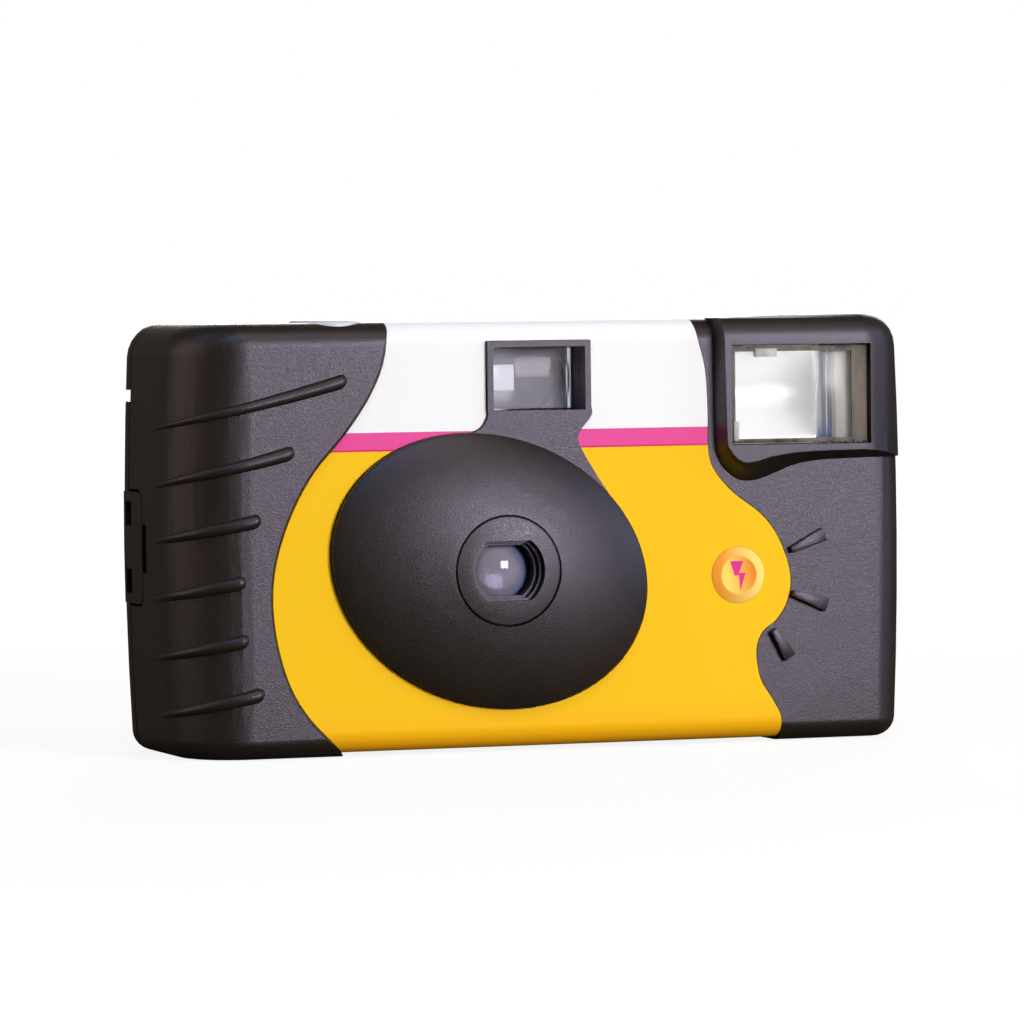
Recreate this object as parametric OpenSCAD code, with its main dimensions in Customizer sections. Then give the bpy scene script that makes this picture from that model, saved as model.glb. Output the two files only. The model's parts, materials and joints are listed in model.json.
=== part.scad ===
// Single-use 35 mm film camera with a built-in flash.
// Millimetres. +Z is up, the lens looks along -Y, +X is to the right of someone facing the lens.
// The origin is under the middle of the body, on the surface that it stands on.

/* [Body] */
// Overall width
body_w = 117.5; // [116:0.5:124]
// Height of the covers
body_h = 65; // [64:0.5:70]
// Overall depth, from the lens dome to the rim of the thumbwheel
body_d = 39; // [38.5:0.5:44]
// Wall of the covers
wall = 1.6; // [1.2:0.1:1.8]
// Corner radius seen from the front
corner_r = 5; // [4:0.5:6]
// Share of that radius at the corners by the base
foot_share = 0.6; // [0.5:0.05:1]
// Radius of the long front edges
edge_r = 3.5; // [2.5:0.5:4]
// Radius of the long back edges
back_r = 3; // [2:0.5:4]
// Radius of the right front edge
flank_r = 5.5; // [4:0.5:6.5]
// Outward bow of each end wall
end_bow = 1; // [0.6:0.1:1.4]
// Depth of the rear cover, from its back to the seam
rear_depth = 5.9; // [5.5:0.1:7]
// Gap at the seam between the covers
seam_gap = 0.4; // [0.2:0.05:0.5]
// Length of the rear cover's lip inside the front cover
lip_len = 2.2; // [1.5:0.1:2.6]
// Thickness of that lip
lip_t = 0.9; // [0.7:0.1:1.1]

/* [Latch] */
// Height of each latch tongue
tongue_h = 17; // [14:0.2:18]
// Reach of each latch tongue past the seam
tongue_len = 7.2; // [6:0.2:8]
// Height of a latch tongue's middle above the base
tongue_z = 31.2; // [29:0.1:34]
// Height of the latch windows in a tongue
latch_window_h = 3.7; // [3:0.1:4.2]
// Depth of the latch windows in a tongue
latch_window_d = 3.1; // [2.4:0.1:3.6]

/* [Grip] */
// How far the grip stands out from the label
grip_proud = 1.5; // [1:0.1:2]
// Radius of the grip's outer front edge
grip_r = 11.5; // [9:0.5:12.5]
// Radius along the grip's inner rim
grip_rim_r = 0.9; // [0.5:0.1:1]
// Radius of a finger rib at its round end
rib_r = 1; // [0.7:0.05:1.2]
// Height of a finger rib at its round end
rib_h = 0.95; // [0.6:0.05:1.1]

/* [Label] */
// Thickness of the wrap label
label_t = 0.3; // [0.2:0.05:0.4]
// Recess of the label above the base
label_lift = 0.5; // [0.3:0.1:0.7]
// Gap round the label's cut edges
label_gap = 0.12; // [0.08:0.02:0.2]
// Distance of the label's rear edge from the back
label_back = 3; // [2.5:0.1:3.4]

/* [Lens] */
// Lens axis from the middle of the body
lens_x = -8.5; // [-9.5:0.1:-8]
// Lens axis above the base
lens_z = 27.5; // [27.2:0.1:29]
// Half length of the dome
dome_a = 25.5; // [24:0.1:26]
// Half width of the dome
dome_b = 20.25; // [19:0.05:21]
// Lean of the dome's long axis
dome_lean = 18.7; // [10:0.1:22]
// Height of the dome above the label
dome_h = 5.7; // [5:0.1:6.5]
// Height of the dome's upright rim above the label
dome_rim = 1; // [0.6:0.1:1.4]
// Radius of the lens bezel
bezel_r = 8.3; // [7.8:0.1:8.6]
// Half width of the bezel's opening
opening_r = 5.7; // [5.2:0.1:6]
// Half height of the bezel's opening
opening_h = 4.5; // [4:0.1:4.8]
// Radius of the taking lens
lens_r = 4.6; // [4:0.1:4.8]
// Radius of the aperture behind the shutter blade
aperture_r = 1.8; // [1.2:0.1:2]
// Thickness of the shutter blade
blade_t = 0.4; // [0.2:0.05:0.5]

/* [Viewfinder] */
// Middle of the viewfinder from the lens axis
finder_dx = 6.8; // [6:0.1:7]
// Distance of the viewfinder frame from the top
finder_top = 3.1; // [2.8:0.1:3.6]
// Width of the viewfinder frame
finder_w = 16.5; // [15.5:0.1:17.4]
// Height of the viewfinder frame
finder_h = 11.4; // [10.4:0.1:11.6]
// Face width of the viewfinder frame
finder_rim = 0.9; // [0.7:0.1:1.2]
// How far the viewfinder frame stands out from the label
finder_proud = 0.7; // [0.4:0.1:1]
// Width of the eyepiece
eye_w = 10; // [8:0.1:11]
// Height of the eyepiece
eye_h = 7.4; // [6:0.1:8]

/* [Flash] */
// Width of the flash window
flash_w = 22.9; // [21:0.1:23.4]
// Height of the flash window
flash_h = 15.3; // [14:0.1:15.6]
// Distance of the flash window from the right end
flash_side = 7.4; // [7:0.1:8.5]
// Distance of the flash window from the top
flash_top = 4.1; // [3.9:0.1:4.6]
// How far the flash housing stands out from the label
flash_proud = 3.2; // [2.5:0.1:3.6]
// How far the flash housing stands out at the top
flash_crown = 0.5; // [0.2:0.1:0.6]
// How far the flash housing stands out at the right end
flash_flank = 0.15; // [0.1:0.05:0.4]
// Radius of the flash housing's right front edge
flash_r = 8.5; // [6.5:0.5:9]
// Depth of the flash window's recess
flash_recess = 1.4; // [1:0.1:2]
// Thickness of the flash lens
flash_lens_t = 1.2; // [0.8:0.1:1.5]
// Radius of the flash button
button_r = 4.2; // [3.6:0.1:4.4]
// Height of the rays beside the flash button
ray_h = 0.7; // [0.4:0.1:0.9]
// Travel of the flash button
button_travel = 0.8; // [0.5:0.05:0.9]

/* [Film] */
// Radius of the film cartridge's end caps
cartridge_r = 12.5; // [12.3:0.1:12.6]
// Length of the film cartridge
cartridge_h = 47; // [46:0.1:47.2]
// Width of the film
film_w = 35; // [34:0.1:35]
// Thickness of the film
film_t = 0.15; // [0.1:0.01:0.2]
// Distance of the film behind the cartridge axis
film_dy = 9; // [8.8:0.1:9.2]
// Width of the picture
gate_w = 36; // [34:0.1:36]
// Height of the picture
gate_h = 24; // [22:0.1:24]
// Radius of the unexposed roll
roll_r = 9; // [7:0.1:9.2]
// Roll axis from the right end
roll_side = 22.7; // [22:0.1:23]
// Teeth of the metering sprocket
sprocket_teeth = 8; // [8:1:8]
// Pitch of the film's perforations
perf_pitch = 4.75; // [4.75:0.01:4.75]

/* [Controls] */
// Radius of the thumbwheel
wheel_r = 15.5; // [15.2:0.1:15.8]
// Thickness of the thumbwheel
wheel_t = 1.2; // [1:0.1:1.8]
// How far the thumbwheel stands out of the back
wheel_proud = 1.1; // [0.8:0.1:1.4]
// Grooves round the thumbwheel
wheel_grooves = 48; // [36:1:60]
// Radius of the shutter button
shutter_r = 5.8; // [5:0.1:6]
// How far the shutter button stands out of the top
shutter_proud = 0.4; // [0.3:0.1:0.8]
// Travel of the shutter button
shutter_travel = 1.2; // [0.8:0.1:1.3]
// Shutter button from the left end
shutter_dx = 25.6; // [25:0.1:25.9]
// Shutter button behind the label's face
shutter_dy = 6.2; // [6:0.1:6.6]
// Teeth of the frame counter
counter_teeth = 40; // [30:1:44]
// Radius of the frame counter
counter_r = 7.2; // [6.6:0.1:7.4]

/* [Power] */
// Radius of the battery
cell_r = 5.25; // [5:0.05:5.3]
// Length of the battery without its cap
cell_len = 43.3; // [42:0.1:43.5]
// Thickness of the flash circuit board
board_t = 1; // [0.8:0.1:1.2]
// Radius of the flash capacitor
capacitor_r = 4.8; // [4:0.1:4.8]
// Length of the flash capacitor
capacitor_h = 34; // [28:0.5:36]

/* [Fits] */
// Clearance between a moving piece and what guides it
run_gap = 0.3; // [0.2:0.05:0.4]
// Clearance round a piece that is set in another
set_gap = 0.15; // [0.1:0.01:0.2]
// Radial clearance of a turning pivot
pivot_gap = 0.06; // [0.04:0.01:0.1]

/* [Hidden] */
$fn = 64;
eps = 0.01;
far = 100;

// Colours
black_plastic = "#2e2b30";
dark_plastic = "#1d1c1f";
clear_plastic = [0.85, 0.9, 0.95, 0.45];
grey_plastic = "#c9c7d2";
label_yellow = "#f6b81c";
steel = "#b9bcc0";

// Faces of the body
left_x = -body_w / 2;
right_x = body_w / 2;
flank_x = right_x - flash_flank;
back_y = body_d / 2 - wheel_proud;
face_y = -body_d / 2 + dome_h;
seat_y = face_y + label_t;
grip_y = face_y - grip_proud;
flash_y = face_y - flash_proud;
finder_y = face_y - finder_proud;
seam_y = back_y - rear_depth;
seat_z0 = label_lift + label_t;
seat_z1 = body_h - label_t;

// Room inside the covers
room_x0 = left_x + wall;
room_x1 = flank_x - wall;
room_y0 = seat_y + wall;
room_y1 = back_y - wall;
room_z0 = seat_z0 + wall;
room_z1 = seat_z1 - wall;
room_r = corner_r - wall - 1.2;

// Viewfinder
finder_x = lens_x + finder_dx;
finder_z1 = body_h - finder_top;
finder_z0 = finder_z1 - finder_h;
finder_zc = (finder_z0 + finder_z1) / 2;

// Flash window
flash_x1 = right_x - flash_side;
flash_x0 = flash_x1 - flash_w;
flash_z1 = body_h - flash_top;
flash_z0 = flash_z1 - flash_h;
flash_xc = (flash_x0 + flash_x1) / 2;
flash_zc = (flash_z0 + flash_z1) / 2;
button_x = right_x - 28.4;
button_z = lens_z - 1.8;

// Film path
cart_x = left_x + end_bow + wall + run_gap + wheel_r;
cart_y = back_y + wheel_proud - wheel_r;
cart_z0 = lens_z - cartridge_h / 2;
cart_z1 = lens_z + cartridge_h / 2;
film_y = cart_y + film_dy;
roll_x = right_x - roll_side;
roll_y = film_y - roll_r - run_gap;

// Lens stack, from the front to the film
bezel_back_y = face_y - dome_h + 3.8;
plate_y = bezel_back_y + 2.6;
plate_t = 0.8;
blade_slot = 1;
tunnel_y = plate_y + plate_t + blade_slot;
tunnel_wall = 1;
gate_y = film_y - run_gap;

// Chambers of the film frame
chamber_gap = 0.4;
chamber_wall = 1.1;
cart_room_r = cartridge_r + chamber_gap;
roll_room_r = roll_r + 1;
deck_z = cart_z1 + chamber_gap;
deck_t = 1.2;

// Film drive
sprocket_r = sprocket_teeth * perf_pitch / (2 * PI);
tooth_h = 1;
sprocket_x = cart_x + cart_room_r + chamber_wall + sprocket_r + tooth_h + run_gap;
sprocket_y = film_y - sprocket_r - tooth_h - 0.2;
perf_z = lens_z + film_w / 2 - 3.4;
wheel_z = deck_z + deck_t + 1;
shelf_z = wheel_z + wheel_t + 0.8;
shelf_t = 1.2;
counter_x = cart_x + 5.5;
counter_y = room_y1 - counter_r - 0.9;
counter_z = shelf_z + shelf_t + 0.8;
counter_t = 1.4;
shutter_x = left_x + shutter_dx;
shutter_y = face_y + shutter_dy;
latch_arm = 6;
latch_x = shutter_x + latch_arm;
latch_y = shutter_y + 2.4;
latch_z = counter_z + 0.9;
counter_window_x = counter_x - 3.4;
counter_window_y = counter_y - 3.4;
counter_window_r = 2.8;

// Flash electronics
board_y = room_y0 + 2.7;
board_x0 = lens_x + 20.5;
board_x1 = room_x1 - 1.2;
board_z0 = room_z0 + 13;
board_z1 = flash_z0 - 1.5;
board_bosses = [[board_x0 + 3.5, board_z1 - 4], [board_x1 - 4, board_z0 + 3]];
lamp_x = finder_x + finder_w / 2 + 6;
lamp_z = finder_zc + 1;
pipe_r = 1.7;
cell_x0 = lens_x - 14.5;
cell_y = room_y0 + run_gap + cell_r;
cell_z = room_z0 + run_gap + cell_r;

// Curves

// Points of a smooth curve through p, with n steps between neighbours
function blend4(a, b, c, d, t) =
  0.5 * (2 * b + (c - a) * t + (2 * a - 5 * b + 4 * c - d) * t * t + (3 * b - a - 3 * c + d) * t * t * t);
function spline(p, n) = concat(
  [for (i = [0 : len(p) - 2]) for (k = [0 : n - 1])
    blend4(p[max(i - 1, 0)], p[i], p[i + 1], p[min(i + 2, len(p) - 1)], k / n)],
  [p[len(p) - 1]]);
// The same curve moved sideways by d, to its left
function beside(p, d) = [for (i = [0 : len(p) - 1])
  let (t = p[min(i + 1, len(p) - 1)] - p[max(i - 1, 0)]) p[i] + d * [-t[1], t[0]] / norm(t)];
function mix_lists(a, b, t) = [for (i = [0 : len(a) - 1]) a[i] * (1 - t) + b[i] * t];
function backwards(p) = [for (i = [len(p) - 1 : -1 : 0]) p[i]];
function shift(p, d) = [for (q = p) q + d];

// Draw-in of a rounded edge at distance d from it
function edge_inset(d, r) = d < r ? r - sqrt(max(r * r - (r - d) * (r - d), 0)) : 0;
// Draw-in of a bowed end wall at height z of a body from z0 to z1, whose corners are sharper at the base
function end_inset(z, z0, z1, r) = end_bow * pow((2 * z - z0 - z1) / (z1 - z0), 2)
  + edge_inset(z1 - z, r) + edge_inset(z - z0, r * foot_share);
// Heights at which such a body is drawn, close together at its edges
function body_levels(z0, z1, r) = let (f = r * foot_share) concat(
  [for (a = [0 : 15 : 75]) z0 + f - f * cos(a)],
  [for (k = [0 : 6]) z0 + f + (z1 - z0 - r - f) * k / 6],
  [for (a = [75 : -15 : 0]) z1 - r + r * cos(a)]);

// Inner rim of the grip, from the bottom up, measured from the lens axis in x
grip_rim = spline(shift([
  [-20.9, -4], [-25.7, 1.5], [-29.9, 5.9], [-32.9, 10.8], [-34.9, 17.5], [-35.5, 24.5], [-34.6, 30.5],
  [-32.2, 37], [-28.7, 42.9], [-24, 48.2], [-19.7, 54.5], [-17.5, 60.5], [-17.2, body_h + 4]
], [lens_x, 0]), 4);

// Right edge of the label, from the top down, measured from the right end.
// The upper points follow the flash housing and the lower ones the flash button.
label_right = spline(concat(
  shift([[-35.6, 4], [-34.6, -2.6], [-33.4, -7.5], [-33, -14], [-33, -19.5], [-32.2, -22.8],
    [-29.1, -26.5]], [right_x, body_h]),
  shift([[4.1, 9.2], [7, 5.2], [8.7, 0], [8.2, -4.1], [6.3, -7.1], [4.1, -8.8], [3, -11.6], [3.6, -15.9],
    [5.6, -19.2], [7.1, -22.6], [7, -30]], [button_x, button_z])), 4);

// Foot and face of the flash housing's bevel, from the top down and to the right
flash_foot = spline(shift([[-32.3, 6], [-32.2, -4.5], [-32.2, -10.3], [-32.1, -19.1], [-31.3, -22],
  [-29.7, -23.8], [-27.9, -24.8], [-25.3, -24.8], [-22.2, -23.8], [-19, -22.6], [-15.2, -22],
  [-10.2, -21.8], [6, -21.4]], [right_x, body_h]), 4);
flash_brow = spline(shift([[-31.4, 6], [-31.4, -4.5], [-31.3, -10.3], [-31.1, -18.5], [-30.6, -20.1],
  [-29.7, -21.3], [-28.4, -22], [-26.5, -21.9], [-23.7, -21.2], [-20, -20.7], [-16.5, -20.5],
  [-10.2, -20.4], [6, -20.2]], [right_x, body_h]), 4);

// Right side of the neck that joins the viewfinder frame to the dome, from the top down
neck_right = spline([[finder_x + finder_w / 2, finder_z0 + 1.5], [finder_x + finder_w / 2, finder_z0],
  [lens_x + 13.3, finder_z0 - 2.2], [lens_x + 12.9, finder_z0 - 3.5], [lens_x + 13.4, finder_z0 - 5],
  [lens_x + 15.3, (finder_z0 + lens_z + 6.6) / 2], [lens_x + 17.6, lens_z + 11.3],
  [lens_x + 20.7, lens_z + 7.1], [lens_x + 22.7, lens_z + 2.8], [lens_x + 23.5, lens_z - 2.3]], 4);

// Helpers

// Extrudes an x-z drawing along y
module slab(y0, y1) { translate([0, y1, 0]) rotate([90, 0, 0]) linear_extrude(y1 - y0) children(); }
// Extrudes a y-z drawing along x
module beam(x0, x1) { translate([x0, 0, 0]) rotate([90, 0, 90]) linear_extrude(x1 - x0) children(); }
// Extrudes an x-y drawing along z
module post(z0, z1) { translate([0, 0, z0]) linear_extrude(z1 - z0) children(); }
module box(x0, x1, y0, y1, z0, z1) { translate([x0, y0, z0]) cube([x1 - x0, y1 - y0, z1 - z0]); }
// A round bar along y, from y0 to y1
module rod_y(x, z, r, y0, y1) { translate([x, y1, z]) rotate([90, 0, 0]) cylinder(r = r, h = y1 - y0); }
module rod_x(y, z, r, x0, x1) { translate([x0, y, z]) rotate([0, 90, 0]) cylinder(r = r, h = x1 - x0); }
module rod_z(x, y, r, z0, z1) { translate([x, y, z0]) cylinder(r = r, h = z1 - z0); }

// A rectangle with its own radius at each corner, from the lower left, anticlockwise
module rounded(x0, y0, x1, y1, r) {
  difference() {
    translate([x0, y0]) square([x1 - x0, y1 - y0]);
    for (c = [[x0, y0, 1, 1, r[0]], [x1, y0, -1, 1, r[1]], [x1, y1, -1, -1, r[2]], [x0, y1, 1, -1, r[3]]])
      if (c[4] > 0) difference() {
        translate([c[0] - (c[2] > 0 ? 1 : c[4]), c[1] - (c[3] > 0 ? 1 : c[4])]) square(c[4] + 1);
        translate([c[0] + c[2] * c[4], c[1] + c[3] * c[4]]) circle(c[4]);
      }
  }
}

// Front view of the body with bowed ends
module bowed(x0, x1, z0, z1, r) {
  polygon(concat(
    [for (z = body_levels(z0, z1, r)) [x1 - end_inset(z, z0, z1, r), z]],
    [for (z = backwards(body_levels(z0, z1, r))) [x0 + end_inset(z, z0, z1, r), z]]));
}

// A body that is rounded in all three views. Front edges take r_front, back edges r_back.
module hulk(x0, x1, y0, y1, z0, z1, r_corner, r_left, r_right, r_front, r_back) {
  intersection() {
    slab(y0, y1) bowed(x0, x1, z0, z1, r_corner);
    beam(x0, x1) rounded(y0, z0, y1, z1, [r_front, r_back, r_back, r_front]);
    post(z0, z1) rounded(x0, y0, x1, y1, [r_left, r_right, r_back, r_back]);
  }
}

// A solid skinned over rings of points, all of one length, from the back to the front
module skin(rings) {
  n = len(rings[0]);
  m = len(rings);
  polyhedron(
    points = [for (ring = rings) each ring],
    faces = concat(
      [[for (i = [0 : n - 1]) i], [for (i = [n - 1 : -1 : 0]) (m - 1) * n + i]],
      [for (k = [0 : m - 2]) for (i = [0 : n - 1]) let (j = (i + 1) % n)
        [k * n + i, (k + 1) * n + i, (k + 1) * n + j]],
      [for (k = [0 : m - 2]) for (i = [0 : n - 1]) let (j = (i + 1) % n)
        [k * n + i, (k + 1) * n + j, k * n + j]]));
}
// A body with bowed ends, whose top and bottom edges run round its front corners
module moulded(x0, x1, y0, y1, z0, z1, r_left, r_right, r_edge) {
  skin([for (z = body_levels(z0, z1, corner_r))
    let (i = end_inset(z, z0, z1, corner_r), j = edge_inset(min(z - z0, z1 - z), r_edge))
    let (a1 = max(r_left - i, 0.3), b1 = max(r_left - j, 0.3))
    let (a2 = max(r_right - i, 0.3), b2 = max(r_right - j, 0.3))
    concat([[x0 + i, y1, z]],
      [for (t = [0 : 9 : 90]) [x0 + i + a1 - a1 * cos(t), y0 + j + b1 - b1 * sin(t), z]],
      [for (t = [90 : -15 : 0]) [x1 - i - a2 + a2 * cos(t), y0 + j + b2 - b2 * sin(t), z]],
      [[x1 - i, y1, z]])]);
}
// A solid through x-z outlines, each at its own y, from the back to the front
module loft(ys, outlines) {
  skin([for (k = [0 : len(ys) - 1]) [for (p = outlines[k]) [p[0], ys[k], p[1]]]]);
}

// Drawings of the front

// The whole sheet of the label, without its openings
module label_sheet(gap) {
  polygon(concat(beside(grip_rim, -gap), beside(label_right, -gap)));
}

// Everything to the left of the grip's rim
function grip_sheet(d) = concat([[left_x - 5, -4]], beside(grip_rim, d), [[left_x - 5, body_h + 4]]);

function flash_sheet(curve) = concat(curve, [[right_x + 6, body_h + 6]]);

module dome_outline(gap) {
  a = dome_a + gap;
  b = dome_b + gap;
  translate([lens_x - 1.3, lens_z - 0.2]) rotate(-dome_lean)
    polygon([for (i = [0 : 119]) [a * cos(i * 3), b * sin(i * 3)]]);
}

module neck_outline(gap) {
  left = finder_x - finder_w / 2;
  right = finder_x + finder_w / 2;
  polygon(beside(concat(backwards(neck_right), [[right, finder_z1], [left, finder_z1]],
    spline([[left, finder_z0 + 1], [left, finder_z0], [left - 1, finder_z0 - 1.6],
      [left - 2.6, finder_z0 - 2.4]], 4), [[left - 3, lens_z]]), -gap));
}

// The bezel's opening, a round hole with a flat top and bottom
module opening_outline(step) {
  intersection() {
    circle(opening_r - step);
    translate([-opening_r, -opening_h + 0.7 * step]) square([2 * opening_r, 2 * opening_h - 1.4 * step]);
  }
}

// Shapes that the covers share

module label_bay() {
  difference() {
    slab(-far, back_y - label_back + label_gap) label_sheet(0);
    beam(-far, far) rounded(seat_y, seat_z0, far, seat_z1, [edge_r - label_t, 0, 0, edge_r - label_t]);
  }
}

// Hollow of the front cover, whose front wall starts at y0
module front_room(y0, y1) {
  hulk(room_x0, room_x1, y0, y1, room_z0, room_z1, room_r, grip_r - wall, flank_r - wall,
    edge_r - wall, 0);
}

// A dome over the lens, inset by d on every side
module dome(d) {
  steps = 9;
  rise = dome_h - dome_rim;
  translate([lens_x - 1.3, face_y, lens_z - 0.2]) rotate([90, 0, 0]) rotate([0, 0, -dome_lean])
    scale([dome_a - d, dome_b - d, 1]) rotate_extrude($fn = 72)
      polygon(concat([[0, -label_t - wall + 0.4 - d], [1, -label_t - wall + 0.4 - d], [1, dome_rim - d]],
        [for (i = [1 : steps]) [cos(90 * i / steps), dome_rim - d + rise * pow(sin(90 * i / steps), 1.6)]]));
}

// The latch tongue at one end, drawn in y and z and grown by gap
module tongue_outline(gap) {
  half = tongue_h / 2 + gap;
  rounded(seam_y - tongue_len - gap, tongue_z - half, seam_y + 3, tongue_z + half, [2 + gap, 0, 0, 2 + gap]);
}

// Windows in the tongues, and the notch in front of each tip
module latch_windows(x0, x1) {
  for (side = [-1, 1])
    box(x0, x1, seam_y - 1.2, seam_y - 1.2 + latch_window_d,
      tongue_z + 5.15 * side - latch_window_h / 2, tongue_z + 5.15 * side + latch_window_h / 2);
}

// A finger rib on the grip, from its thin tail on the end wall to its round head
function grip_bow(z) = end_bow * pow((z - body_h / 2) / (body_h / 2), 2);
function grip_at(s, z) =
  let (turn = grip_r * PI / 2)
  s < 0 ? [left_x + grip_bow(z), grip_y + grip_r - s, -1, 0]
  : s < turn ? let (a = 90 * s / turn)
    [left_x + grip_r + (grip_bow(z) - grip_r) * cos(a), grip_y + grip_r - grip_r * sin(a), -cos(a), -sin(a)]
  : [left_x + grip_r + s - turn, grip_y, 0, -1];
module rib(head_x, head_z, tail_z) {
  tail = -3.2;
  head = grip_r * PI / 2 + head_x - left_x - grip_r;
  n = 12;
  body = [for (k = [0 : 12]) let (t = k / 12) [tail + (head - rib_r - tail) * t, 0.06 + 0.94 * t]];
  cap = [for (k = [1 : 4]) [head - rib_r + rib_r * sin(k * 21), cos(k * 21)]];
  skin([for (q = concat(body, cap))
    let (t = (q[0] - tail) / (head - tail))
    let (z = tail_z + (head_z - tail_z) * pow(t, 1.4), g = grip_at(q[0], z))
    [for (i = [0 : n - 1]) let (w = rib_r * q[1] * cos(360 * i / n), h = rib_h * q[1] * sin(360 * i / n))
      [g[0] + g[2] * h, g[1] + g[3] * h, z + w]]]);
}

// Covers

module front_cover() {
  end_y = seam_y - seam_gap / 2;
  window_y = seam_y - tongue_len - seam_gap;
  color(black_plastic) difference() {
    union() {
      difference() {
        moulded(left_x + 3, flank_x, face_y, end_y, 0, body_h, grip_r, flank_r, edge_r);
        label_bay();
      }
      // Grip with a rounded inner rim and six finger ribs
      intersection() {
        moulded(left_x, flank_x, grip_y, end_y, 0, body_h, grip_r, flank_r, edge_r);
        loft([end_y + 1, grip_y + grip_rim_r, grip_y + 0.4 * grip_rim_r, grip_y + 0.1 * grip_rim_r,
          grip_y - 0.2], [grip_sheet(0), grip_sheet(0), grip_sheet(0.2 * grip_rim_r),
          grip_sheet(0.55 * grip_rim_r), grip_sheet(grip_rim_r)]);
      }
      rib(lens_x - 24, 56.4, 49.3);
      rib(lens_x - 32.3, 45.8, 40.7);
      rib(lens_x - 37.6, 35.8, 32.4);
      rib(lens_x - 40, 26.7, 23.8);
      rib(lens_x - 39.7, 18, 15);
      rib(lens_x - 37.4, 10, 6.3);
      // Flash housing with a bevelled foot. Its crown rises to the right from the label's height.
      intersection() {
        moulded(left_x, right_x, flash_y, end_y, 0, body_h + flash_crown, grip_r, flash_r, edge_r);
        slab(-far, far) polygon([[right_x - 40, 0], [far, 0], [far, far],
          [right_x - 16, body_h + flash_crown], [right_x - 33, body_h], [right_x - 40, body_h]]);
        loft([end_y + 1, face_y, flash_y + 1.1, flash_y + 0.45, flash_y + 0.12, flash_y - 0.2],
          [flash_sheet(flash_foot), flash_sheet(flash_foot),
            flash_sheet(mix_lists(flash_foot, flash_brow, 0.62)),
            flash_sheet(mix_lists(flash_foot, flash_brow, 0.8)),
            flash_sheet(mix_lists(flash_foot, flash_brow, 0.95)),
            flash_sheet(mix_lists(flash_foot, flash_brow, 1.15))]);
      }
      // Three raised rays that point away from the flash button
      for (ray = [[23, 9.3], [-19, 9.3], [-57.5, 10.2]])
        slab(face_y - ray_h, face_y + 1) translate([button_x, button_z]) rotate(ray[0])
          polygon([[ray[1], -0.45], [15.2, -1], [15.2, 1], [ray[1], 0.45]]);
      // Dome round the lens, and the neck up to the viewfinder frame
      dome(0);
      slab(finder_y, seat_y + 1) neck_outline(0);
    }
    front_room(room_y0, far);
    intersection() {
      front_room(grip_y + wall, far);
      slab(-far, far) polygon(grip_sheet(wall));
    }
    difference() {
      dome(wall);
      box(-far, far, room_y0 + 0.2, far, 0, body_h);
    }
    // Lens, viewfinder and flash openings
    rod_y(lens_x, lens_z, bezel_r + set_gap, -far, room_y0 + 1);
    box(finder_x - finder_w / 2 + finder_rim, finder_x + finder_w / 2 - finder_rim, -far, room_y0 + 1,
      finder_z0 + finder_rim, finder_z1 - finder_rim);
    box(flash_x0, flash_x1, -far, room_y0 + 1, flash_z0, flash_z1);
    rod_y(button_x, button_z, button_r + set_gap, -far, room_y0 + 1);
    // Shutter button and frame counter openings
    rod_z(shutter_x, shutter_y, shutter_r + run_gap, room_z1 - shutter_travel - 0.6, far);
    rod_z(counter_window_x, counter_window_y, counter_window_r + set_gap, room_z1 - 1, far);
    // Room for the rear cover's latch tongues
    for (x = [[left_x - 1, room_x0 + 0.5], [room_x1 - 0.5, right_x + 1]]) {
      beam(x[0], x[1]) tongue_outline(seam_gap);
      box(x[0], x[1], window_y - 2.1, window_y + 1, tongue_z - 3.65, tongue_z + 3.65);
    }
  }
  // Bosses for the flash circuit board
  color(black_plastic) for (p = board_bosses) rod_y(p[0], p[1], 1.6, room_y0 - 0.2, board_y);
}

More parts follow.
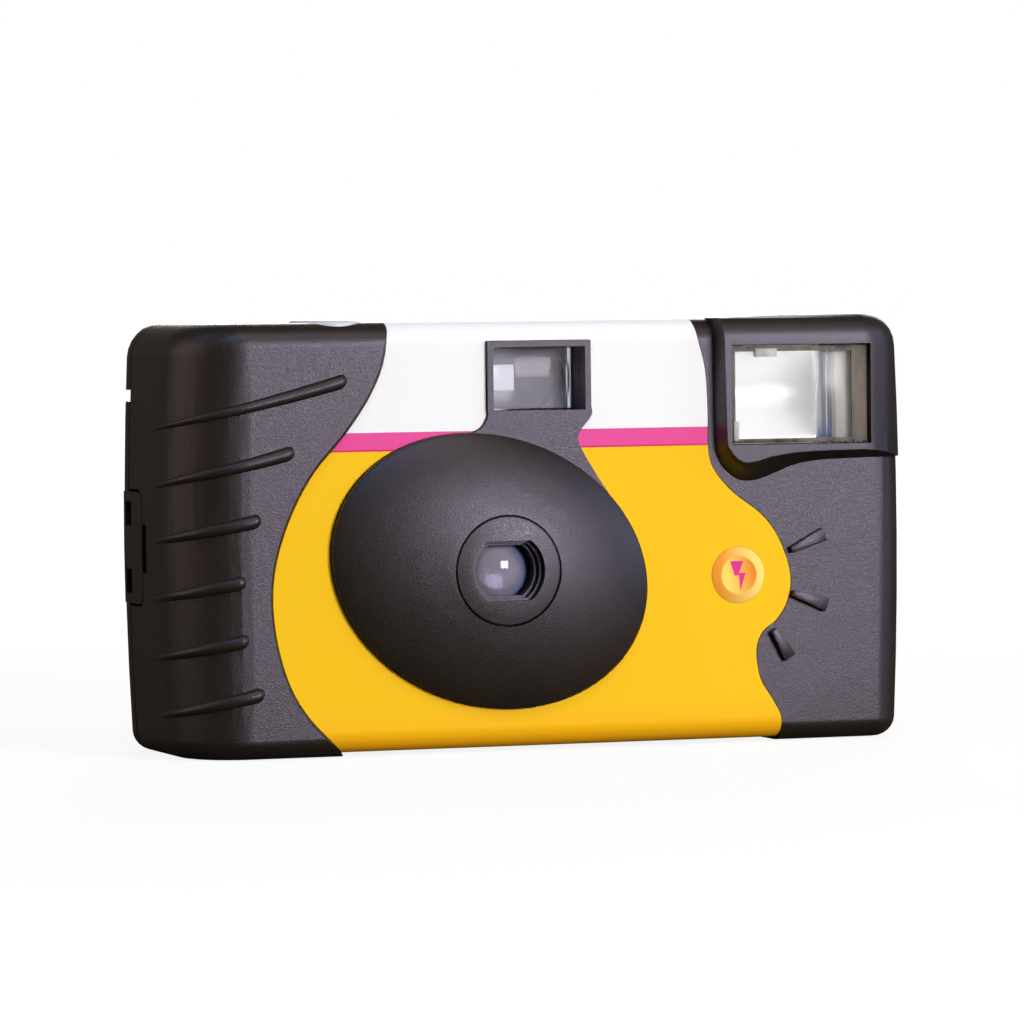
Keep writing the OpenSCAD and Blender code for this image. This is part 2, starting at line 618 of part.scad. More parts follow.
module rear_cover() {
  start_y = seam_y + seam_gap / 2;
  lip_d = set_gap + lip_t;
  color(black_plastic) difference() {
    union() {
      difference() {
        mirror([0, 1, 0])
          moulded(left_x, flank_x, -back_y, -start_y, 0, body_h, back_r + 1, back_r + 1, back_r);
        label_bay();
        hulk(room_x0, room_x1, start_y - 1, room_y1, room_z0, room_z1, room_r, 0, 0, 0,
          back_r - wall);
      }
      // Lip that locates the front cover
      difference() {
        union() {
          slab(seam_y - lip_len, start_y + 1.4) bowed(room_x0 + set_gap, room_x1 - set_gap, room_z0 + set_gap,
            room_z1 - set_gap, room_r - set_gap);
          slab(start_y, start_y + 1.4) bowed(room_x0 - 0.2, room_x1 + 0.2, room_z0 - 0.2, room_z1 + 0.2,
            room_r);
        }
        slab(-far, far) bowed(room_x0 + lip_d, room_x1 - lip_d, room_z0 + lip_d, room_z1 - lip_d,
          max(room_r - lip_d, 0.3));
      }
      // Latch tongues
      intersection() {
        difference() {
          slab(room_y0, back_y) bowed(left_x, flank_x, 0, body_h, corner_r);
          hulk(room_x0, room_x1, room_y0, far, room_z0, room_z1, room_r, grip_r - wall,
            flank_r - wall, 0, 0);
        }
        union() {
          beam(left_x - 1, room_x0 + 1) tongue_outline(0);
          beam(room_x1 - 1, right_x + 1) tongue_outline(0);
        }
      }
      // Rails that hold the film flat
      for (side = [-1, 1])
        box(cart_x + cartridge_r + 1.4 + run_gap, lens_x + gate_w / 2 + 4, film_y + film_t + set_gap,
          room_y1 + 0.5, lens_z + side * (film_w / 2 - 1.4) - 0.9, lens_z + side * (film_w / 2 - 1.4) + 0.9);
    }
    latch_windows(left_x - 1, room_x0 + lip_d + 1);
    latch_windows(room_x1 - lip_d - 1, right_x + 1);
    // Slot for the thumbwheel, carried round the corner, and a thumb hollow below it
    box(left_x - 1, cart_x + 13, seam_y - lip_len - 1, far, wheel_z - run_gap, wheel_z + wheel_t + run_gap);
    translate([cart_x, back_y + 29.2, wheel_z - 2.5]) sphere(30, $fn = 128);
    box(finder_x - eye_w / 2 - set_gap, finder_x + eye_w / 2 + set_gap, seam_y, far,
      finder_zc - eye_h / 2 - set_gap, finder_zc + eye_h / 2 + set_gap);
    rod_y(lamp_x, lamp_z, pipe_r + set_gap, seam_y, far);
  }
}

module wrap_label() {
  color(label_yellow) intersection() {
    slab(face_y - 1, back_y - label_back) difference() {
      label_sheet(label_gap);
      dome_outline(label_gap);
      neck_outline(label_gap);
      translate([button_x, button_z]) circle(button_r + set_gap + label_gap);
    }
    difference() {
      beam(-far, far) rounded(face_y, label_lift, far, body_h, [edge_r, 0, 0, edge_r]);
      beam(-far - 1, far + 1) rounded(seat_y, seat_z0, far + 1, seat_z1,
        [edge_r - label_t, 0, 0, edge_r - label_t]);
    }
  }
}

// Lens and shutter

module lens_bezel() {
  front = face_y - dome_h;
  color(black_plastic) difference() {
    union() {
      translate([lens_x, bezel_back_y, lens_z]) rotate([90, 0, 0]) rotate_extrude()
        polygon([[0, 0.3], [bezel_r, 0.3], [bezel_r, 3.05], [bezel_r - 0.25, 3.3], [6.5, 3.55], [4, 3.72],
          [0, 3.8]]);
      rod_y(lens_x, lens_z, bezel_r + 0.9, bezel_back_y - 0.95, bezel_back_y - 0.3);
      rod_y(lens_x, lens_z, lens_r + 2.6, bezel_back_y - 0.5, bezel_back_y);
    }
    slab(front - 1, front + 1.3) translate([lens_x, lens_z]) opening_outline(0);
    slab(front - 1, front + 2.3) translate([lens_x, lens_z]) opening_outline(0.5);
    slab(front - 1, bezel_back_y + 1) translate([lens_x, lens_z]) opening_outline(1);
  }
}

module taking_lens() {
  rise = 1.6;
  dome_radius = (lens_r * lens_r + rise * rise) / (2 * rise);
  color(clear_plastic) intersection() {
    rod_y(lens_x, lens_z, lens_r, plate_y - 3.2, plate_y);
    translate([lens_x, plate_y - 3.2 + dome_radius, lens_z]) sphere(dome_radius, $fn = 96);
  }
}

module lens_plate() {
  color(dark_plastic) difference() {
    union() {
      rod_y(lens_x, lens_z, 11, plate_y, plate_y + plate_t);
      rod_y(lens_x, lens_z, lens_r + 1.4, bezel_back_y, plate_y + 0.1);
    }
    rod_y(lens_x, lens_z, lens_r + set_gap, -far, plate_y);
    rod_y(lens_x, lens_z, aperture_r + 0.9, -far, far);
  }
}

blade_x = lens_x + 6.5;
blade_z = lens_z + 6;
blade_y = plate_y + plate_t + (blade_slot - blade_t) / 2;
blade_pin_r = 1;

module shutter_blade() {
  cover_r = aperture_r + 1.2;
  color(steel) difference() {
    union() {
      rod_y(blade_x, blade_z, 2.2, blade_y, blade_y + blade_t);
      rod_y(lens_x, lens_z, cover_r, blade_y, blade_y + blade_t);
      slab(blade_y, blade_y + blade_t) polygon([[lens_x - 1.8, lens_z + 2.2], [blade_x - 1.4, blade_z + 1.6],
        [blade_x + 1.2, blade_z - 1.8], [lens_x + 2, lens_z - 2.2]]);
      slab(blade_y, blade_y + blade_t) polygon([[blade_x - 1.6, blade_z + 1], [blade_x - 2.4, blade_z + 9],
        [blade_x - 0.9, blade_z + 9], [blade_x + 1.2, blade_z + 1]]);
    }
    rod_y(blade_x, blade_z, blade_pin_r + pivot_gap, -far, far);
  }
}

lever_x = lens_x + 2;
lever_y = tunnel_y + 7;
lever_z = blade_z + 9 + 1;
lever_t = 1.4;
lever_pin_r = 1.2;

module shutter_lever() {
  color(grey_plastic) difference() {
    union() {
      post(lever_z, lever_z + lever_t) {
        translate([lever_x, lever_y]) circle(2.6);
        polygon([[lever_x - 1.8, lever_y + 1.6], [lever_x - 1.2, lever_y - 8], [lever_x + 0.6, lever_y - 8],
          [lever_x + 1.8, lever_y - 1.6]]);
        polygon([[lever_x - 1, lever_y - 2], [lever_x - 12, lever_y - 1.2], [lever_x - 12, lever_y + 0.8],
          [lever_x + 1, lever_y + 2]]);
      }
      box(lever_x - 1.2, lever_x + 0.6, lever_y - 8, lever_y - 6.6, lever_z - 0.6, lever_z + 0.1);
    }
    rod_z(lever_x, lever_y, lever_pin_r + pivot_gap, -far, far);
  }
}

// Film frame

module tunnel(d) {
  hull() {
    box(lens_x - gate_w / 2 - d, lens_x + gate_w / 2 + d, gate_y - 0.1, gate_y, lens_z - gate_h / 2 - d,
      lens_z + gate_h / 2 + d);
    box(lens_x - 3.5 - d, lens_x + 3.5 + d, tunnel_y + tunnel_wall - d, tunnel_y + tunnel_wall - d + 0.1,
      lens_z - 3.5 - d, lens_z + 3.5 + d);
  }
}

chamber_open_y = cart_y + 5.5;
plate_posts = [[cart_x - 13, cart_y - 11.6], [cart_x + 13.6, cart_y - 10.8]];
frame_z0 = room_z0 + set_gap;

module film_frame() {
  bearing_z = perf_z - 2.4;
  roll_z0 = lens_z - film_w / 2 - 2.6;
  roll_z1 = lens_z + film_w / 2 + 2.6;
  color(dark_plastic) difference() {
    union() {
      tunnel(1);
      rod_y(lens_x, lens_z, 11, tunnel_y, tunnel_y + tunnel_wall);
      // Plate round the picture gate
      box(cart_x + 11, roll_x - 6, gate_y - 1.2, gate_y, lens_z - film_w / 2 - 1.5,
        lens_z + film_w / 2 + 1.5);
      // Chambers for the cartridge and the roll
      rod_z(cart_x, cart_y, cart_room_r + chamber_wall, frame_z0, deck_z + deck_t);
      rod_z(roll_x, roll_y, roll_room_r + chamber_wall, roll_z0, roll_z1);
      post(deck_z, deck_z + deck_t) polygon([[cart_x - 14.6, cart_y - 10.5], [cart_x - 13, cart_y - 13],
        [cart_x + 15.4, cart_y - 12.4], [cart_x + 15.4, cart_y + 4], [cart_x - 14.6, cart_y + 4]]);
      for (p = plate_posts) rod_z(p[0], p[1], 1.4, deck_z, shelf_z);
      // Stand for the sprocket, pin of the shutter lever and third post of the mechanism plate
      rod_z(sprocket_x, sprocket_y, 3.4, lens_z + 6, bearing_z);
      rod_z(lever_x, lever_y, lever_pin_r, lens_z + 6, lever_z + lever_t + 0.6);
      rod_z(lever_x, lever_y, 2.6, lens_z + 4, lever_z - set_gap);
      rod_z(sprocket_x + 8.2, gate_y - 3, 1.4, lens_z + 8, shelf_z);
      // Pillar under the viewfinder tube
      rod_z(lens_x + 8.5, tunnel_y + 1.6, 1.4, lens_z + 2, finder_z0 + finder_rim - tube_t - set_gap);
      // Web between the cartridge chamber and the tunnel
      box(cart_x + 11.8, lens_x - 14, gate_y - 5, gate_y - 1.4, lens_z - 13, lens_z + 12);
      // Posts that carry the lens plate, one of them the pin of the shutter blade
      rod_y(lens_x - 8.2, lens_z + 2, 1.2, plate_y + plate_t, tunnel_y + 0.2);
      rod_y(lens_x, lens_z - 8.8, 1.2, plate_y + plate_t, tunnel_y + 0.2);
      rod_y(blade_x, blade_z, blade_pin_r, plate_y + plate_t, tunnel_y + 0.2);
      // Saddle under the roll chamber
      box(roll_x - 6, roll_x + 6, roll_y - 4, roll_y + 4, frame_z0, roll_z0 + 0.5);
    }
    tunnel(0);
    rod_y(lens_x, lens_z, aperture_r, -far, gate_y);
    rod_z(cart_x, cart_y, cart_room_r, frame_z0 + 1.2, deck_z);
    rod_z(cart_x, cart_y, 5, deck_z - 1, far);
    box(cart_x - 20, cart_x + 11.5, chamber_open_y, far, 0, far);
    box(cart_x + 8, cart_x + 16, gate_y - 1.4, far, 0, far);
    box(cart_x - 20, cart_x + 20, seam_y - lip_len - run_gap, far, 0, room_z0 + lip_t + set_gap + run_gap);
    rod_z(roll_x, roll_y, roll_room_r, roll_z0 + 1.2, roll_z1 - 1.2);
    rod_z(roll_x, roll_y, 2 + pivot_gap, roll_z0 - 4, roll_z1 + 1);
    box(roll_x - 7, roll_x + 20, roll_y + 6, far, 0, far);
    // Window that the sprocket's teeth reach through, and its lower bearing
    box(sprocket_x - 5, sprocket_x + 5, sprocket_y + 3, far, perf_z - 1.6, perf_z + 1.6);
    rod_z(sprocket_x, sprocket_y, 1.3 + pivot_gap, bearing_z - 2, far);
  }
}

module mechanism_plate() {
  ear = 1.2;
  half = 0.9 + set_gap;
  color(dark_plastic) {
    difference() {
      union() {
        post(shelf_z, shelf_z + shelf_t) polygon([[cart_x - 14.6, cart_y - 10.5], [cart_x - 13, cart_y - 13],
          [cart_x + 17, cart_y - 13], [sprocket_x + 7.5, cart_y - 8], [sprocket_x + 7.5, sprocket_y - 2],
          [sprocket_x + 9.6, sprocket_y + 1.5], [sprocket_x + 9.6, gate_y], [cart_x - 12.5, gate_y],
          [cart_x - 14.6, gate_y - 3]]);
        for (side = [-1, 1])
          box(latch_x - 1.4, latch_x + 1.4, latch_y + side * (half + ear / 2) - ear / 2,
            latch_y + side * (half + ear / 2) + ear / 2, shelf_z + 0.1, latch_z + 1.3);
      }
      rod_z(cart_x, cart_y, 2.5 + pivot_gap, -far, far);
      rod_z(sprocket_x, sprocket_y, 1.6 + pivot_gap, -far, far);
      box(shutter_x - 2.4, latch_x - 2, latch_y - 1.4, latch_y + 1.4, 0, far);
      box(latch_x + 6.6, latch_x + 11, latch_y - 1.4, latch_y + 1.4, 0, far);
    }
    rod_y(latch_x, latch_z, 0.8, latch_y - half - ear, latch_y + half + ear);
    rod_z(counter_x, counter_y, 1.5, shelf_z + 0.1, counter_z + counter_t + 0.5);
  }
}

module release_latch() {
  color(grey_plastic) difference() {
    union() {
      rod_y(latch_x, latch_z, 1.6, latch_y - 0.9, latch_y + 0.9);
      box(shutter_x - 1.8, latch_x + 9, latch_y - 0.9, latch_y + 0.9, latch_z - 0.8, latch_z + 0.8);
      box(latch_x + 7.8, latch_x + 9, latch_y - 0.9, latch_y + 0.9, lever_z + lever_t + run_gap, latch_z);
    }
    rod_y(latch_x, latch_z, 0.8 + pivot_gap, -far, far);
  }
}

module shutter_button() {
  top = body_h + shutter_proud;
  flange = room_z1 - set_gap;
  color(grey_plastic) {
    difference() {
      translate([shutter_x, shutter_y, 0]) rotate_extrude()
        polygon([[0, flange - 1.2], [shutter_r + 0.7, flange - 1.2], [shutter_r + 0.7, flange],
          [shutter_r, flange], [shutter_r, top - 0.7], [shutter_r - 0.2, top - 0.3],
          [shutter_r - 0.7, top - 0.05], [shutter_r - 1.6, top], [0, top - 0.35]]);
      // The flange is flat in front, clear of the grip's wall
      box(-far, 0, -far, room_y0 + edge_r - wall - 0.4, 0, flange + 0.3);
    }
    rod_z(shutter_x, latch_y, 1, latch_z + 0.8 + set_gap, flange - 1.1);
  }
}

// Film drive

module metering_sprocket() {
  reach = norm([counter_x - sprocket_x, counter_y - sprocket_y]) - counter_r - 0.25;
  aim = atan2(counter_y - sprocket_y, counter_x - sprocket_x) + 160;
  color(grey_plastic) translate([sprocket_x, sprocket_y, 0]) {
    post(perf_z - 1.2, perf_z + 1.2) union() {
      circle(sprocket_r - 0.15);
      for (k = [0 : sprocket_teeth - 1]) rotate((k + 0.5) * 360 / sprocket_teeth)
        polygon([[sprocket_r - 0.6, -0.8], [sprocket_r + tooth_h, -0.35], [sprocket_r + tooth_h, 0.35],
          [sprocket_r - 0.6, 0.8]]);
    }
    rod_z(0, 0, 1.3, perf_z - 4.2, perf_z);
    rod_z(0, 0, 1.6, perf_z, counter_z + counter_t + 0.4);
    // Cam that cocks the shutter lever
    post(lever_z + lever_t + 0.4, lever_z + lever_t + 2) polygon([for (k = [0 : 71]) let (a = 5 * k)
      (2.6 + 1.6 * k / 71) * [cos(a), sin(a)]]);
    // Finger that moves the frame counter on by one tooth
    post(counter_z, counter_z + 1.2) rotate(aim) {
      circle(2.6);
      polygon([[0, -1.4], [reach - 0.6, -0.5], [reach, 0], [reach - 0.6, 0.5], [0, 1.4]]);
    }
  }
}

module counter_wheel() {
  color("#e8e6df") translate([counter_x, counter_y, 0]) difference() {
    post(counter_z, counter_z + counter_t) polygon([for (k = [0 : 4 * counter_teeth - 1])
      (counter_r - (k % 4 < 2 ? 0 : 0.45)) * [cos(90 * k / counter_teeth), sin(90 * k / counter_teeth)]]);
    rod_z(0, 0, 1.5 + pivot_gap, 0, far);
  }
}

module counter_window() {
  color(clear_plastic) {
    flange = room_z1 - set_gap;
    rod_z(counter_window_x, counter_window_y, counter_window_r, counter_z + counter_t + run_gap,
      body_h - 0.1);
    rod_z(counter_window_x, counter_window_y, counter_window_r + 0.7, flange - 0.8, flange);
  }
}

module thumbwheel() {
  color(grey_plastic) translate([cart_x, cart_y, 0]) {
    post(wheel_z, wheel_z + wheel_t) polygon([for (k = [0 : 4 * wheel_grooves - 1])
      (wheel_r - (k % 4 < 2 ? 0 : 0.6)) * [cos(90 * k / wheel_grooves), sin(90 * k / wheel_grooves)]]);
    rod_z(0, 0, 4.4, cart_z1 + 0.2, wheel_z + 0.1);
    rod_z(0, 0, 2.5, wheel_z, shelf_z + shelf_t);
    box(-2.8, 2.8, -0.7, 0.7, cart_z1 - 1.6, cart_z1 + 0.3);
  }
}

shell_r = cartridge_r - 0.3;
shell_t = 0.25;
mouth_y = film_dy + film_t / 2;

module cartridge_shell() {
  color("#3a3a3f") translate([cart_x, cart_y, cart_z0]) difference() {
    union() {
      rod_z(0, 0, shell_r, 1, cartridge_h - 1);
      box(5, cartridge_r + 1.4, mouth_y - 1, mouth_y + 1, 2.4, cartridge_h - 2.4);
    }
    rod_z(0, 0, shell_r - shell_t, 0, far);
    box(4, cartridge_r + 2, mouth_y - 1 + shell_t, mouth_y + 1 - shell_t, 0, far);
  }
}

module cartridge_cap(z) {
  color("#c8b25a") difference() {
    rod_z(cart_x, cart_y, cartridge_r, z, z + 1);
    rod_z(cart_x, cart_y, 4.2, -far, far);
  }
}
module cartridge_cap_top() { cartridge_cap(cart_z1 - 1); }
module cartridge_cap_bottom() { cartridge_cap(cart_z0); }

module light_trap(side) {
  color("#151515") translate([cart_x, cart_y, cart_z0])
    box(cartridge_r - 4.4, cartridge_r + 1.2, mouth_y + side * 0.45 - 0.28, mouth_y + side * 0.45 + 0.28, 2.7,
      cartridge_h - 2.7);
}
module light_trap_inner() { light_trap(-1); }
module light_trap_outer() { light_trap(1); }

module cartridge_spool() {
  color("#26262a") translate([cart_x, cart_y, cart_z0]) difference() {
    union() {
      rod_z(0, 0, 5.3, 1.4, cartridge_h - 1.4);
      rod_z(0, 0, 4, 0.2, cartridge_h);
    }
    box(-3, 3, -0.8, 0.8, cartridge_h - 2, far);
    rod_z(0, 0, 2.2, -1, 4);
  }
}

module film_strip() {
  x0 = cart_x + cartridge_r - 3;
  first = ceil(x0 / perf_pitch) + 1;
  last = floor(roll_x / perf_pitch) - 1;
  color("#6b4a34") difference() {
    box(x0, roll_x, film_y, film_y + film_t, lens_z - film_w / 2, lens_z + film_w / 2);
    for (k = [first : last]) for (side = [-1, 1])
      box(k * perf_pitch - 1, k * perf_pitch + 1, film_y - 1, film_y + 1,
        lens_z + side * (film_w / 2 - 3.4) - 1.4, lens_z + side * (film_w / 2 - 3.4) + 1.4);
  }
}

core_r = 4;

module film_roll() {
  color("#6b4a34") difference() {
    rod_z(roll_x, roll_y, roll_r, lens_z - film_w / 2, lens_z + film_w / 2);
    rod_z(roll_x, roll_y, core_r + 0.1, 0, far);
  }
}

module supply_spool() {
  half = film_w / 2 + 1.2;
  color("#26262a") {
    rod_z(roll_x, roll_y, core_r, lens_z - half, lens_z + half);
    rod_z(roll_x, roll_y, 2, lens_z - half - 1.3, lens_z + half + 1.3);
  }
}

// Viewfinder

tube_y0 = face_y + 5;
tube_y1 = room_y1 - 1.6;
tube_t = 0.8;

module viewfinder_front_lens() {
  w = finder_w / 2 - finder_rim - 0.2;
  h = finder_h / 2 - finder_rim - 0.2;
  color(clear_plastic) difference() {
    box(finder_x - w, finder_x + w, tube_y0, tube_y0 + 2.6, finder_zc - h, finder_zc + h);
    translate([finder_x, tube_y0 - 28.6, finder_zc]) sphere(30, $fn = 128);
  }
}

module viewfinder_tube() {
  w = finder_w / 2 - finder_rim;
  h = finder_h / 2 - finder_rim;
  color(dark_plastic) difference() {
    hull() {
      box(finder_x - w - tube_t, finder_x + w + tube_t, room_y0 + 0.1, tube_y0 + 3, finder_zc - h - tube_t,
        finder_zc + h + tube_t);
      box(finder_x - eye_w / 2 - tube_t, finder_x + eye_w / 2 + tube_t, tube_y1 - 0.2, tube_y1,
        finder_zc - eye_h / 2 - tube_t, finder_zc + eye_h / 2 + tube_t);
    }
    hull() {
      box(finder_x - w, finder_x + w, room_y0 - 1, tube_y0 + 3, finder_zc - h, finder_zc + h);
      box(finder_x - eye_w / 2 + 0.5, finder_x + eye_w / 2 - 0.5, tube_y1 - 0.2, tube_y1 + 0.1,
        finder_zc - eye_h / 2 + 0.5, finder_zc + eye_h / 2 - 0.5);
    }
  }
}

module viewfinder_eyepiece() {
  color(clear_plastic) union() {
    intersection() {
      box(finder_x - eye_w / 2, finder_x + eye_w / 2, room_y1 - 0.6, back_y, finder_zc - eye_h / 2,
        finder_zc + eye_h / 2);
      translate([finder_x, back_y - 0.2 - 24, finder_zc]) sphere(24, $fn = 128);
    }
    box(finder_x - eye_w / 2 - 0.8, finder_x + eye_w / 2 + 0.8, tube_y1 + 0.1, room_y1 - 0.1,
      finder_zc - eye_h / 2 - 0.8, finder_zc + eye_h / 2 + 0.8);
  }
}

// Flash

flash_lens_y = flash_y + flash_recess;
mirror_y = flash_lens_y + flash_lens_t + 0.1;
mirror_d = 7.4;
tube_r = 1.5;

module flash_lens() {
  color(clear_plastic) box(flash_x0 + set_gap, flash_x1 - set_gap, flash_lens_y, flash_lens_y + flash_lens_t,
    flash_z0 + set_gap, flash_z1 - set_gap);
}

module flash_reflector() {
  // A trough with a parabolic back, closed at both ends
  depth = mirror_d;
  half = flash_h / 2 - 0.5;
  function bowl(h, d) = [for (k = [-10 : 10]) [mirror_y + d * (1 - pow(k / 10, 2)), flash_zc + h * k / 10]];
  color("#dfe3e8") difference() {
    beam(flash_x0 + 0.3, flash_x1 - 0.3) polygon(bowl(half, depth));
    beam(flash_x0 + 0.9, flash_x1 - 0.9) polygon(concat(bowl(half - 0.7, depth - 0.7),
      [[mirror_y - 1, flash_zc + half - 0.7], [mirror_y - 1, flash_zc - half + 0.7]]));
    rod_x(mirror_y + depth - 3, flash_zc, tube_r + 0.12, flash_x0 - 1, flash_x1 + 1);
  }
}

module flash_tube() {
  y = mirror_y + mirror_d - 3;
  color([0.9, 0.95, 1, 0.6]) rod_x(y, flash_zc, tube_r, flash_x0 - 0.8, flash_x1 + 0.8);
  color(steel) for (x = [[flash_x0 - 2.4, flash_x0 - 0.7], [flash_x1 + 0.7, flash_x1 + 2.4]])
    rod_x(y, flash_zc, 0.9, x[0], x[1]);
}

module flash_button() {
  back = room_y0 + 0.1;
  h = back - face_y;
  color(label_yellow) {
    translate([button_x, back, button_z]) rotate([90, 0, 0]) rotate_extrude()
      polygon([[0, -0.6], [button_r + 0.9, -0.6], [button_r + 0.9, 0], [button_r, 0], [button_r, h - 0.05],
        [button_r - 0.15, h], [3.15, h - 0.3], [2.9, h - 0.28], [2, h - 0.12], [1, h - 0.02], [0, h]]);
    rod_y(button_x, button_z, 1.3, back + 0.5, board_y - 0.6 - button_travel);
  }
}

module flash_switch_leaf() {
  color(steel) {
    box(button_x - 1.6, button_x + 1.6, board_y - 0.35, board_y - 0.15, button_z - 3, button_z + 5);
    box(button_x - 1.6, button_x + 1.6, board_y - 0.35, board_y, button_z + 4, button_z + 5);
  }
}

module flash_circuit_board() {
  color("#3c6b3a") difference() {
    union() {
      box(board_x0, board_x1, board_y, board_y + board_t, board_z0, board_z1);
      box(board_x0, flash_x0 - 3, board_y, board_y + board_t, board_z1 - 1, lamp_z + 2.4);
    }
    for (p = board_bosses) rod_y(p[0], p[1], 0.7, -far, far);
  }
}

can_x = room_x1 - capacitor_r - 1.1;
can_y = board_y + board_t + 0.3 + capacitor_r;
can_z0 = room_z0 + 3;

module flash_capacitor() {
  color("#2b3550") {
    translate([can_x, can_y, can_z0]) rotate_extrude()
      polygon([[0, 0], [capacitor_r - 0.6, 0], [capacitor_r, 0.6], [capacitor_r, capacitor_h - 0.8],
        [capacitor_r - 0.8, capacitor_h], [0, capacitor_h]]);
    rod_y(can_x - 2, can_z0 + capacitor_h + 1, 0.35, board_y + board_t, can_y + 0.3);
    rod_z(can_x - 2, can_y, 0.35, can_z0 + capacitor_h - 1, can_z0 + capacitor_h + 1.3);
  }
}

module flash_transformer() {
  x0 = board_x0 + 1.5;
  y0 = board_y + board_t;
  color("#8a3b1e") box(x0, x0 + 8, y0, y0 + 7, board_z0 + 12, board_z0 + 20);
  color("#c9c2a0") box(x0 - 0.8, x0 + 8.8, y0, y0 + 1.4, board_z0 + 11.2, board_z0 + 20.8);
}

module trigger_coil() {
  color("#6a3a20") rod_y(board_x0 + 5, board_z0 + 4.5, 2.8, board_y + board_t, board_y + board_t + 5);
}

module trigger_capacitor() {
  color("#b5762a") box(board_x0 + 11.3, board_x0 + 15, board_y + board_t, board_y + board_t + 2.4,
    board_z0 + 9, board_z0 + 13);
}

module oscillator_transistor() {
  color("#222222") rod_y(board_x0 + 9, board_z1 - 2.8, 2.2, board_y + board_t, board_y + board_t + 3.4);
}

module battery() {
  color("#c9a24a") {
    rod_x(cell_y, cell_z, cell_r, cell_x0, cell_x0 + cell_len);
    rod_x(cell_y, cell_z, 1.9, cell_x0 + cell_len - 0.5, cell_x0 + cell_len + 1.2);
  }
}

module battery_contact_positive() {
  x = cell_x0 + cell_len + 1.4;
  y = board_y + board_t + 0.05;
  color(steel) {
    box(x, x + 0.4, cell_y - 3.5, cell_y + 3.5, cell_z - 3.5, cell_z + 3.5);
    box(x, x + 0.4, y, cell_y + 3.5, cell_z + 3, board_z0 + 3);
    box(x, x + 3.5, y, y + 0.4, board_z0 + 0.5, board_z0 + 3);
  }
}

module battery_contact_negative() {
  x = cell_x0 - 2.6;
  color(steel) {
    box(x, x + 0.4, cell_y - 4, cell_y + 4, cell_z - 4.6, cell_z + 6);
    // Coned contact spring
    skin([for (k = [0 : 60]) let (a = 18 * k, r = 3.4 - 1.9 * k / 60, px = x + 0.5 + 1.85 * k / 60)
      [for (i = [0 : 5]) let (b = -60 * i)
        [px + 0.28 * sin(b), cell_y + (r + 0.28 * cos(b)) * cos(a), cell_z + (r + 0.28 * cos(b)) * sin(a)]]]);
  }
}

module ready_lamp() {
  y0 = board_y + board_t;
  color([1, 0.6, 0.35, 0.7]) {
    rod_y(lamp_x, lamp_z, 2, y0, y0 + 7);
    translate([lamp_x, y0 + 7, lamp_z]) sphere(2);
  }
}

module ready_light_pipe() {
  y0 = board_y + board_t + 9.3;
  color([1, 0.75, 0.55, 0.6]) {
    rod_y(lamp_x, lamp_z, pipe_r, y0, back_y - 0.2);
    translate([lamp_x, back_y - 1.4, lamp_z]) sphere(pipe_r);
    rod_y(lamp_x, lamp_z, pipe_r + 0.7, room_y1 - 1, room_y1 - 0.1);
  }
}

module sync_contact() {
  x = blade_x + 4;
  color(steel) {
    box(x, x + 0.3, tunnel_y - 0.6, board_y + board_t - 0.05, blade_z + 4, blade_z + 6);
    box(x, board_x0 + 1.5, board_y - 0.4, board_y - 0.05, blade_z + 4, blade_z + 6);
  }
}

front_cover();
rear_cover();
wrap_label();
lens_bezel();
taking_lens();
lens_plate();
shutter_blade();
shutter_lever();
film_frame();
viewfinder_front_lens();
viewfinder_tube();
viewfinder_eyepiece();
mechanism_plate();
shutter_button();
release_latch();
metering_sprocket();
counter_wheel();
counter_window();
thumbwheel();
cartridge_shell();
cartridge_cap_top();
cartridge_cap_bottom();
light_trap_inner();
light_trap_outer();
cartridge_spool();
film_strip();
film_roll();
supply_spool();
flash_lens();
flash_reflector();
flash_tube();
flash_button();
flash_switch_leaf();
flash_circuit_board();
flash_capacitor();
flash_transformer();
trigger_coil();
trigger_capacitor();
oscillator_transistor();
battery();
battery_contact_positive();
battery_contact_negative();
ready_lamp();
ready_light_pipe();
sync_contact();
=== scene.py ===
import json
import math

import bpy
from mathutils import Matrix, Vector


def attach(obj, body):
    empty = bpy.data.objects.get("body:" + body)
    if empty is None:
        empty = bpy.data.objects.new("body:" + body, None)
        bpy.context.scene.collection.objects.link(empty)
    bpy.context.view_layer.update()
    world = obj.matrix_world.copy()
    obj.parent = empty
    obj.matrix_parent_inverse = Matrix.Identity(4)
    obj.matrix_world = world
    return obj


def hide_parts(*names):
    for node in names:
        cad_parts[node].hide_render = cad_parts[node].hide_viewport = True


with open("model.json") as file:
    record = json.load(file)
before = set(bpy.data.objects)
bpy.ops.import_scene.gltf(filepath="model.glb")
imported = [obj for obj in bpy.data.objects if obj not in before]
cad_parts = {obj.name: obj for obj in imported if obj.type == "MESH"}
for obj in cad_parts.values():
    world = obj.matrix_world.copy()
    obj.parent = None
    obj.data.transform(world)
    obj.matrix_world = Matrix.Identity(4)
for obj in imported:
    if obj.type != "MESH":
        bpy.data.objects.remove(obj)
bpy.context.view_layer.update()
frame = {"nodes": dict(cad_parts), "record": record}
nodes = frame["nodes"]
bodyOf = {}  # which body each piece of the camera rides on
for body, members in frame["record"]["behaviour"]["bodies"].items():
    for member in members:
        bodyOf[member] = body
slotOf = {}  # which material slot it takes its finish from
for row in frame["record"]["subparts"]:
    slotOf[row["node"]] = row["material_slot"]
mm = 0.001
print("frame loaded,", len(nodes), "pieces")


# small helpers for shader nodes

def newFinish(name):
    finish = bpy.data.materials.new(name)
    finish.use_nodes = True
    tree = finish.node_tree
    return finish, tree, tree.nodes["Principled BSDF"]


